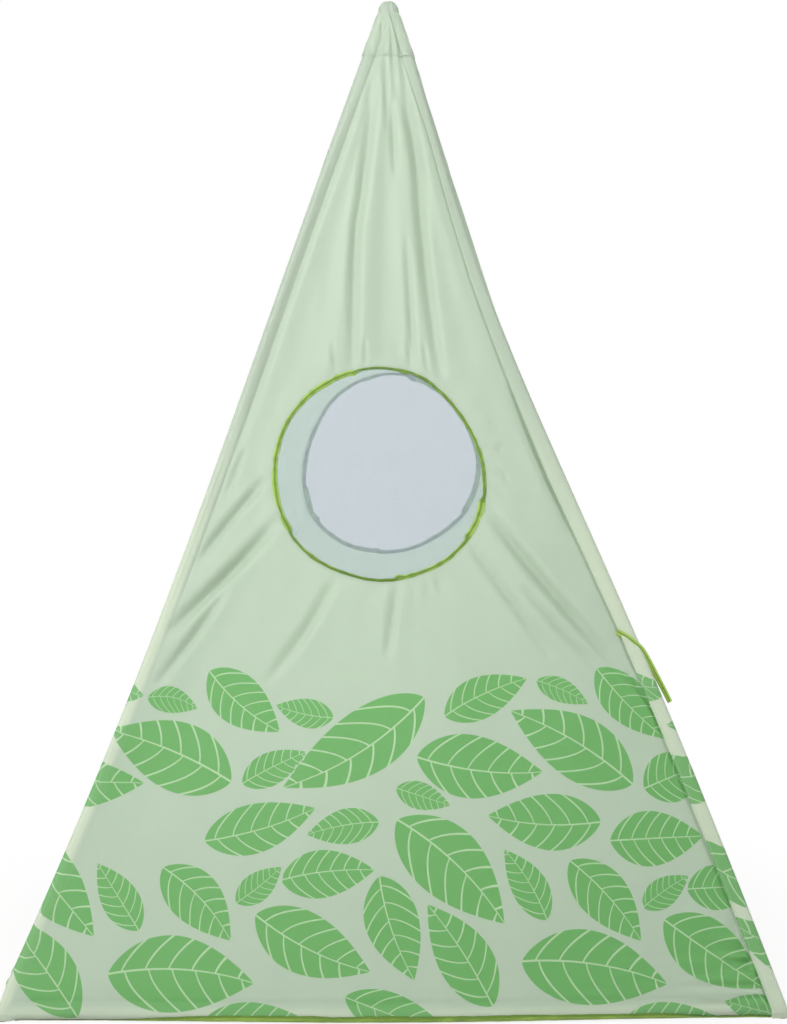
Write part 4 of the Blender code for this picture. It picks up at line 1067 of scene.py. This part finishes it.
# Knitted polyester net: the holes of 0.8 mm are too fine to show, so the cloth is partly clear all over, with faint
# streaks along its rows
net_cloth, tree, output = empty_material("knitted_polyester_net")
streaks = {"Vector": uv_map(tree, "cloth")[0], "Scale": (1 / NET_STREAK, 12.0, 1.0)}
row = noise(tree, add_node(tree, "ShaderNodeMapping", streaks).outputs[0], 1.0, 2.0)
yarn = blend(tree, row, linear("#b0bcc8"), linear("#bbc6d1"))
yarn_skin = add_node(tree, "ShaderNodeBsdfPrincipled", {"Base Color": yarn, "Roughness": 0.7, "Sheen Weight": 0.1})
clear = add_node(tree, "ShaderNodeBsdfTransparent", {"Color": (1, 1, 1, 1)})
covered = map_range(tree, row, 0.0, 1.0, 0.27, 0.31)
mixed = add_node(tree, "ShaderNodeMixShader", {0: covered, 1: clear.outputs[0], 2: yarn_skin.outputs[0]})
tree.links.new(mixed.outputs[0], output.inputs["Surface"])
NET_CLOTH = (net_cloth, "window_mesh")


def round_window(wall, degrees, reach):
    """Flat coordinates round a window's centre, reach being (across, up) from it."""
    angle = np.radians(degrees)
    return WINDOW_SHIFT[wall] + reach[0] * np.cos(angle), window_b + reach[1] * np.sin(angle)


def make_net(wall, side):
    """A window's net, a little slack towards its middle."""
    degrees = np.arange(0, 360, 3.0)
    around = len(degrees)
    rings = np.linspace(0, 1, 22)[1:]
    reach = rings[:, None] * edge_scale(wall, np.radians(degrees))
    a, b = round_window(wall, degrees, (reach * NET_RADII[0], reach * NET_RADII[1]))
    a, b = np.append(WINDOW_SHIFT[wall], a.ravel()), np.append(window_b, b.ravel())
    far = np.append(0.0, np.repeat(rings, around))
    slack = -0.0009 - NET_SAG * (1 - far**2) * (0.7 + 0.3 * ripple(a / 0.07 + 9, b / 0.07 + 9, 31 + wall))
    faces = [(0, 1 + k, 1 + (k + 1) % around) for k in range(around)]
    faces += ring_faces(len(rings), around, first=1)[:, [0, 3, 2, 1]].tolist()
    name = f"window_net_{side}"
    mesh = cloth_mesh(name, cloth_point(wall, a, b, slack), a, b, faces, NET_THICKNESS)
    flat = (round(2 * NET_RADII[0], 4), round(2 * NET_RADII[1], 4))
    area = round(math.pi * NET_RADII[0] * NET_RADII[1], 5)
    make_sheet(name, mesh, NET_CLOTH, [f"window_mesh_{side}"], flat, area, [f"window_wall_{side}"])


def make_binding(wall, side):
    """A window's binding tape. Returns the line on which it is stitched."""
    degrees = np.arange(0, 360, 1.5)
    level = degrees * 0
    turns = np.array(BINDING_TURNS, float)
    if wall == 2:
        turns = turns * (1, 0.9, 0.6, 1) + (0, 1.8, 0, 0)
    width, tilt, shade = (np.interp(degrees, turns[:, 0], turns[:, k]) for k in (1, 2, 3))
    # the painted fold shade changes in short stretches along the ring
    shade = np.clip(shade + 0.35 * ripple(degrees / 2.7, level, 37 + wall), 0, 1)
    width = width / 1000 * (1 + 0.11 * ripple(degrees / 3.4, level + wall, 33))
    uneven = 0.0005 * ripple(degrees / 3.1, level, 35 + wall)
    reach = WINDOW_RADII[:, None] * edge_scale(wall, np.radians(degrees)) - width / 2
    a, b = round_window(wall, degrees, reach)
    line = cloth_point(wall, a, b, -0.0002 + uneven)
    plain = wall_normal(wall, np.clip(b / wall_slant, 0, 1))
    along = unit(np.roll(line, -1, axis=0) - np.roll(line, 1, axis=0))
    tilt = np.radians(tilt)[:, None]
    facing = plain * np.cos(tilt) + np.cross(along, plain) * np.sin(tilt)
    thick = BINDING_THICKNESS + 0.0004 * np.sin(np.abs(tilt[:, 0]))
    section = BINDING_SECTION[None] * np.stack([width / 2 / np.cos(tilt[:, 0]), thick], axis=1)[:, None]
    name = f"window_tape_{side}"
    mesh = sweep_mesh(name, line, facing, section, closed=True, shade=shade)
    place_piece(name, mesh, *LIME_TAPE, "tent", f"window_binding_{side}")
    out = square_to(along, facing)
    row = line + (out * thick[:, None] + np.cross(along, out) * (width * 0.16)[:, None])
    return np.vstack([row, row[:1]])


tape_rows = [tie_line[1:-1] + tie_facing[1:-1] * TAPE_LIFT]
for wall in WINDOW_SHIFT:
    make_net(wall, SIDES[wall])
    tape_rows.append(make_binding(wall, SIDES[wall]))

# ---- Channels, floor and hem tape -----------------------------------------------------------------------------
# The poles and base rods run in channels of the same taffeta, sewn inside the walls. The floor is a sheet of coated
# polyester sewn in at the hem. A lime tape binds the hem along the base rods.
CHANNEL_CLOTH = 0.0005
PLAIN_B = 3.0
FLOOR_CLOTH = 0.0010
FLOOR_LEVEL = 0.0011
TAPE_CLOTH = 0.0004
TAPE_CLEAR = 0.0008
hem_reach = float(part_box("hem_sleeve_front")[1][0])
channel_radius = sleeve_radius - 0.0007
# Angle round the rod, in degrees down from the wall, at which the hem tape begins, by distance along the side
TAPE_TOP_AT = (-0.57, -0.45, -0.38, -0.30, -0.26, 0.26, 0.40, 0.455, 0.475, 0.50, 0.53, 0.57)
TAPE_TOP = (98, 84, 58, 26, 15, 13, 24, 44, 64, 50, 52, 66)


def tube_cloth(name, line, facing, node, rests_on):
    """A channel of plain cloth round a line."""
    around = np.linspace(0, 2 * math.pi, 17)
    along = unit(np.gradient(line, axis=0))
    out = square_to(along, np.array(facing) * np.ones((len(line), 1)))
    turned = np.cos(around)[:, None] * out[:, None] + np.sin(around)[:, None] * np.cross(along, out)[:, None]
    points = line[:, None] + channel_radius * turned
    a = np.tile(around * channel_radius, len(line))
    b = np.repeat(travelled_along(line), len(around)) + PLAIN_B
    faces = grid_faces(len(line), len(around)).tolist()
    flat, area = flat_size(a, b, faces)
    last = len(around) - 1
    faces = [[v - last if v % (last + 1) == last else v for v in face] for face in faces]
    mesh = cloth_mesh(name, points.reshape(-1, 3), a, b, faces, CHANNEL_CLOTH)
    make_sheet(name, mesh, MINT_CLOTH, [node], flat, area, rests_on)


for corner, name in enumerate(CORNER_NAMES):
    low = (0.014 + 2 * sleeve_radius) / pole_length
    line = pole_axis(corner, np.linspace(low, cap_share, 120))
    facing = (*CORNER_SIGNS[corner], 0.3)
    tube_cloth(f"pole_channel_{name}", line, facing, f"pole_sleeve_{name}", [f"pole_{name}_middle"])
for wall, side in enumerate(SIDES):
    turned = np.linalg.matrix_power(np.array([(0, 1, 0), (-1, 0, 0), (0, 0, 1)], float).T, wall)
    x = np.linspace(-hem_reach, hem_reach, 121)
    line = np.stack([x, -(corner_reach + rod_bow(x)), np.full(len(x), rod_height)], axis=1) @ turned.T
    facing = np.array([0.0, -1.0, 0.0]) @ turned.T
    tube_cloth(f"hem_channel_{side}", line, facing, f"hem_sleeve_{side}", [f"base_rod_{side}_socket"])

    # the tape shows most along the middle of the side, and is pinched towards the corners
    x = np.linspace(-hem_reach, hem_reach, 301)
    top = np.interp(x, TAPE_TOP_AT, TAPE_TOP)
    top = top + 5 * ripple(x / 0.03, x * 0, 21 + wall) + 2 * ripple(x / 0.009, x * 0, 22 + wall)
    under = np.linspace(0, 1, 9)[None, :]
    angle = np.radians(top)[:, None] * (1 - under) + np.radians(112) * under
    a = np.repeat(x[:, None], angle.shape[1], axis=1)
    b = -angle * sleeve_radius
    lift = TAPE_LIFT + 0.0006 * (1 - bell(under, 0.12)) * np.ones_like(a)
    lift = lift + 0.0003 * ripple(a / 0.012, b / 0.004, 23 + wall) * (under < 0.9)
    points = cloth_point(wall, a, b, lift)
    points[..., 2] = np.maximum(points[..., 2], TAPE_CLEAR)
    faces = grid_faces(*a.shape)[:, ::-1].tolist()
    # the tape's upper edge is turned in: a dark line of painted shade runs along it, and a lighter patchy painted
    # shade covers the rest
    shade = np.clip(0.20 + 0.8 * (under < 0.2) + 0.35 * ripple(a / 0.02, under * 3 + 0 * a, 27 + wall), 0, 1)
    name = f"hem_tape_{side}"
    a, b = a.ravel(), b.ravel()
    mesh = cloth_mesh(name, points.reshape(-1, 3), a, b, faces, TAPE_CLOTH, ("folded", shade))
    tape_rows.append(points[2:-2, 1] + (points[2:-2, 1] - points[2:-2, 5]) * 0.02 + facing * TAPE_LIFT)
    hem = [f"hem_channel_{side}"]
    make_sheet(name, mesh, LIME_TAPE, [f"hem_binding_{side}"], *flat_size(a, b, faces), hem, held="folded")

u = np.linspace(-1, 1, 81)
x = u[:, None] * (corner_reach + rod_bow(u * corner_reach)[None, :])
y = u[None, :] * (corner_reach + rod_bow(u * corner_reach)[:, None])
cut = np.clip(np.abs(x) + np.abs(y) - (corner_reach + hem_reach), 0, None) / 2
x, y = (x - np.sign(x) * cut).T, (y - np.sign(y) * cut).T
rise = 0.0022 * np.clip(ripple(x / 0.16 + 9, y / 0.05 + 9, 24), 0, 1)
rise = rise + 0.0015 * np.clip(ripple(x / 0.05, y / 0.21, 25), 0, 1) + 0.0001
z = FLOOR_LEVEL + rise * smooth(0.08, corner_reach - np.maximum(np.abs(x), np.abs(y)))
points = np.stack([x, y, z], axis=-1).reshape(-1, 3)
faces = grid_faces(*x.shape).tolist()
x, y = x.ravel(), y.ravel()
mesh = cloth_mesh("sewn_in_floor", points, x, y + PLAIN_B, faces, FLOOR_CLOTH)
hems = ["hem_channel_front", "hem_channel_back"]
make_sheet("sewn_in_floor", mesh, MINT_CLOTH, ["groundsheet"], *flat_size(x, y, faces), hems, held="laid")

# ---- Cap ------------------------------------------------------------------------------------------------------
# A pouch of taffeta closes the tip over the hub. It is turned right side out and sewn down on the walls, with a
# slightly loose rounded top.
CAP_OVERLAP = 0.013
CAP_LIFT = 0.0006
CAP_LENGTH = 0.115
ROLL_HEIGHT = 0.0016
ROLL_VALLEY = 0.0026
CREASE_DEPTH = 0.0024
POUCH_TOP = HEIGHT + 0.0028
POUCH_ROUND = 0.85
cap_foot = cap_b - CAP_OVERLAP
turn_columns = np.linspace(1, 0, 7)[:-1]


def pouch_row(wall, level, first):
    """A row of the pouch over one wall, as flat coordinates across and how far it lies off the plain wall."""
    half, bend = float(half_width(wall, level)), float(wrap_length(wall, level))
    seam_at = half - float(seam_offset(level))
    across = np.concatenate(
        [-half - bend * turn_columns, np.linspace(-half, seam_at - 0.006, 25)[:-1],
         np.linspace(seam_at - 0.006, seam_at + 0.0045, 19)[:-1], np.linspace(seam_at + 0.0045, half, 6)[:-1]]
    )
    level = np.full(len(across), level)
    lift = 0.0002 + (0.0 if first else CAP_LIFT) + 0.0007 * ripple(across / 0.008 + 3, across * 0 + level / 0.02, 26)
    lift = lift + cloth_lift(wall, across, level) * (across > -half) * smooth(0.06, wall_slant - level)
    # it covers the strips sewn down beside the poles, and the seam runs on over it as a rolled edge
    from_seam = across - seam_at
    strip = np.where(across < -half, smooth(0.012, -half - across), smooth(0.0016, from_seam + 0.001))
    lift = lift + (STRIP_THICKNESS - 0.0013 * smooth(0.05, level - cap_b)) * strip
    roll = ROLL_HEIGHT * bell(from_seam - 0.0010, 0.0011) - ROLL_VALLEY * bell(from_seam + 0.0018, 0.0010)
    lift = lift + roll * smooth(0.02, level - cap_foot - 0.001) * smooth(0.012, wall_slant - level + 0.003)
    # a short crease beside the neck, at the left of each face
    crease = CREASE_DEPTH * bell(across + 0.0135, 0.0018) * smooth(0.03, level - cap_b - 0.01)
    lift = lift - crease * smooth(0.012, wall_slant - 0.016 - level)
    # slack over the hub
    return across, lift + 0.0005 * (1 - smooth(0.03, wall_slant - level))


rings, flats = [], []
for number, level in enumerate([cap_foot, *np.linspace(cap_foot + 0.0010, wall_slant, 44)]):
    ring = []
    for wall in range(4):
        across, lift = pouch_row(wall, np.array(level), number == 0)
        ring.append(cloth_point(wall, across, np.full(len(across), level), lift))
        flats += [(value + wall * 0.1 + PLAIN_B, level) for value in across]
    rings.append(np.vstack(ring))
crest = rings[-1]
middle = crest.mean(axis=0)
around = len(crest)
for angle in np.radians((12, 24, 36, 48, 60, 70, 79, 86)):
    ring = middle + (crest - middle) * math.cos(angle) ** POUCH_ROUND
    ring[:, 2] = middle[2] + (crest[:, 2] - middle[2]) * math.cos(angle) + (POUCH_TOP - middle[2]) * math.sin(angle)
    rings.append(ring)
    flats += [(value[0], wall_slant + 0.02 * math.sin(angle)) for value in flats[-around:]]
points = np.vstack([*rings, [(middle[0], middle[1], POUCH_TOP)]])
flats = np.array([*flats, (PLAIN_B + 0.2, wall_slant + 0.021)])
faces = ring_faces(len(rings), around).tolist()
last = (len(rings) - 1) * around
faces += [[last + k, last + (k + 1) % around, len(points) - 1] for k in range(around)]
mesh = cloth_mesh("tip_pouch", points, flats[:, 0], flats[:, 1], faces)
flat = (round(float(travelled_along(rings[0])[-1]), 4), CAP_LENGTH)
area = 0.0
for face in faces:
    q = points[face]
    area += float(np.linalg.norm(sum(np.cross(q[k] - q[0], q[k + 1] - q[0]) for k in range(1, len(q) - 1)))) / 2
make_sheet(
    "tip_pouch", mesh, MINT_CLOTH, ["tip_cap"], flat, round(area, 5), ["window_wall_front", "window_wall_back"]
)

# ---- Stitching ------------------------------------------------------------------------------------------------
# Every seam is lockstitched in polyester thread: pale mint on the cloth, lime on the tapes. The stitches are 3 mm
# long and 4 mm apart, and the thread is drawn a little thick so that it shows.
STITCH_PITCH = 0.0042
STITCH_LENGTH = 0.0030
THREAD_THICKNESS = 0.0007
MINT_THREAD = "#becfb6"
LIME_THREAD = "#86ad3c"


def thread_material(name, colour):
    """Spun polyester thread: soft, slightly shiny, with its twist showing as fine slanted lines."""
    material, tree, output = empty_material(name)
    twist = noise(tree, add_node(tree, "ShaderNodeTexCoord").outputs["Object"], 1800.0, 1.0)
    tones = {"Color": linear(colour), "Value": math_node(tree, "MULTIPLY_ADD", twist, 0.3, 0.85)}
    shade = add_node(tree, "ShaderNodeHueSaturation", tones).outputs[0]
    plain_surface(tree, output, shade, 0.55, 1.52, bumped(tree, twist, 0.4, 0.0002))
    return material


def stitch_tree(name, material):
    """A tree that lays stitches end to end along the lines of a mesh."""
    tree = bpy.data.node_groups.new(name, "GeometryNodeTree")
    sockets = {}
    tree.interface.new_socket("Geometry", in_out="INPUT", socket_type="NodeSocketGeometry")
    for label in ("Stitch pitch", "Stitch length", "Thread thickness"):
        sockets[label] = tree.interface.new_socket(label, in_out="INPUT", socket_type="NodeSocketFloat").identifier
    tree.interface.new_socket("Geometry", in_out="OUTPUT", socket_type="NodeSocketGeometry")

    def step(kind, inputs=None, output=0, **settings):
        return add_node(tree, kind, inputs, **settings).outputs[output]

    given = add_node(tree, "NodeGroupInput").outputs
    lines = step("GeometryNodeMeshToCurve", {"Mesh": given["Geometry"]})
    spaced = step("GeometryNodeResampleCurve", {"Curve": lines, "Length": given["Stitch pitch"]}, mode="LENGTH")
    turned = step("FunctionNodeAlignRotationToVector", {"Vector": step("GeometryNodeInputTangent")}, axis="Z")
    wobble = step("FunctionNodeRandomValue", {2: -0.09, 3: 0.09, "Seed": 7}, 1, data_type="FLOAT")
    tipped = step("ShaderNodeCombineXYZ", {0: wobble})
    turned = step("FunctionNodeRotateRotation", {0: turned, 1: tipped}, rotation_space="LOCAL")
    bead = step("GeometryNodeMeshUVSphere", {"Segments": 6, "Rings": 4, "Radius": 0.5})
    thick = given["Thread thickness"]
    size = step("ShaderNodeCombineXYZ", {0: thick, 1: thick, 2: given["Stitch length"]})
    stitches = {"Points": spaced, "Instance": bead, "Rotation": turned, "Scale": size}
    real = step("GeometryNodeRealizeInstances", {0: step("GeometryNodeInstanceOnPoints", stitches)})
    smoothed = step("GeometryNodeSetShadeSmooth", {"Geometry": real})
    painted = step("GeometryNodeSetMaterial", {"Geometry": smoothed, "Material": material})
    add_node(tree, "NodeGroupOutput", {0: painted})
    return tree, sockets


def stitch_rows(name, lines, thread, body, slot):
    """One mesh of all the stitches along these lines, on a body. thread is its material, its tree and the sockets."""
    material, tree, sockets = thread
    edges = []
    first = 0
    for line in lines:
        edges += [(k, k + 1) for k in range(first, first + len(line) - 1)]
        first += len(line)
    mesh = bpy.data.meshes.new(name + "_lines")
    mesh.from_pydata(np.vstack(lines).tolist(), edges, [])
    holder = bpy.data.objects.new(name + "_lines", mesh)
    bpy.context.scene.collection.objects.link(holder)
    sewing = holder.modifiers.new("sewing", "NODES")
    sewing.node_group = tree
    sewing[sockets["Stitch pitch"]] = STITCH_PITCH
    sewing[sockets["Stitch length"]] = STITCH_LENGTH
    sewing[sockets["Thread thickness"]] = THREAD_THICKNESS
    evaluated = holder.evaluated_get(bpy.context.evaluated_depsgraph_get())
    sewn = bpy.data.meshes.new_from_object(evaluated)
    bpy.data.objects.remove(holder, do_unlink=True)
    sewn.name = name
    place_piece(name, sewn, material, slot, body)


mint_thread = thread_material("spun_polyester_thread_mint", MINT_THREAD)
lime_thread = thread_material("spun_polyester_thread_lime", LIME_THREAD)
mint_thread = (mint_thread, *stitch_tree("stitch_in_mint", mint_thread))
lime_thread = (lime_thread, *stitch_tree("stitch_in_lime", lime_thread))


def on_wall(wall, a, b, raised):
    """A line on the outside of the finished wall."""
    return cloth_point(wall, a, b, wall_lift(wall, a, b) + raised)


cloth_rows = []
for wall in range(4):
    # beside the edge of the strip sewn down past the left pole
    b = np.linspace(0.004, cap_foot - 0.002, 500)
    edge = half_width(wall, b) + wrap_length(wall, b) + seam_offset(b) - 0.0028
    cloth_rows.append(on_wall(wall, -edge, b, 0.0001))
    # along the pole's channel
    b = np.linspace(0.03, cap_foot - 0.004, 460)
    cloth_rows.append(on_wall(wall, POLE_SEAM - half_width(wall, b), b, -0.0002))
    # above the base rod
    end = float(half_width(wall, np.array(HEM_SEAM_B))) - 0.022
    stretches = [(-end, end)] if wall != 1 else [(-end, -DOOR_HALF_SPREAD), (DOOR_HALF_SPREAD, end)]
    for left, right in stretches:
        a = np.linspace(left, right, 400)
        cloth_rows.append(on_wall(wall, a, np.full(len(a), HEM_SEAM_B), -0.0002))
    # below the edge of the pouch
    b = cap_foot + 0.0035
    half, bend = float(half_width(wall, np.array(b))), float(wrap_length(wall, np.array(b)))
    a = np.linspace(-half - bend, half, 60)
    b = np.full(len(a), b)
    lift = np.where(a > -half, cloth_lift(wall, a, b), 0.0) + CAP_LIFT + 0.0003
    cloth_rows.append(cloth_point(wall, a, b, lift))
    # round the window, in the wall beside the tape
    if wall in WINDOW_SHIFT:
        degrees = np.linspace(0, 360, 241)
        reach = WINDOW_RADII[:, None] * edge_scale(wall, np.radians(degrees)) + 0.0022
        cloth_rows.append(on_wall(wall, *round_window(wall, degrees, reach), 0.0001))
# beside the curtains' fold lines, on the wings
for sign in (-1, 1):
    b = np.linspace(0.02, door_b - 0.01, 300)
    keep = bell(0.004, FOLD_PULL) * smooth(0.02, b)
    row = on_wall(1, sign * (fold_edge(b) + 0.004), b, 0.0002)
    cloth_rows.append(row + fold_shift(sign, b) * keep[:, None])
stitch_rows("seam_stitches", cloth_rows, mint_thread, "tent", "mint_cloth")
stitch_rows("tape_stitches", tape_rows, lime_thread, "tent", "lime_cloth")
for side, rows in curtain_rows.items():
    stitch_rows(f"curtain_stitches_{side}", rows, mint_thread, f"door_flap_{side}", "mint_cloth")
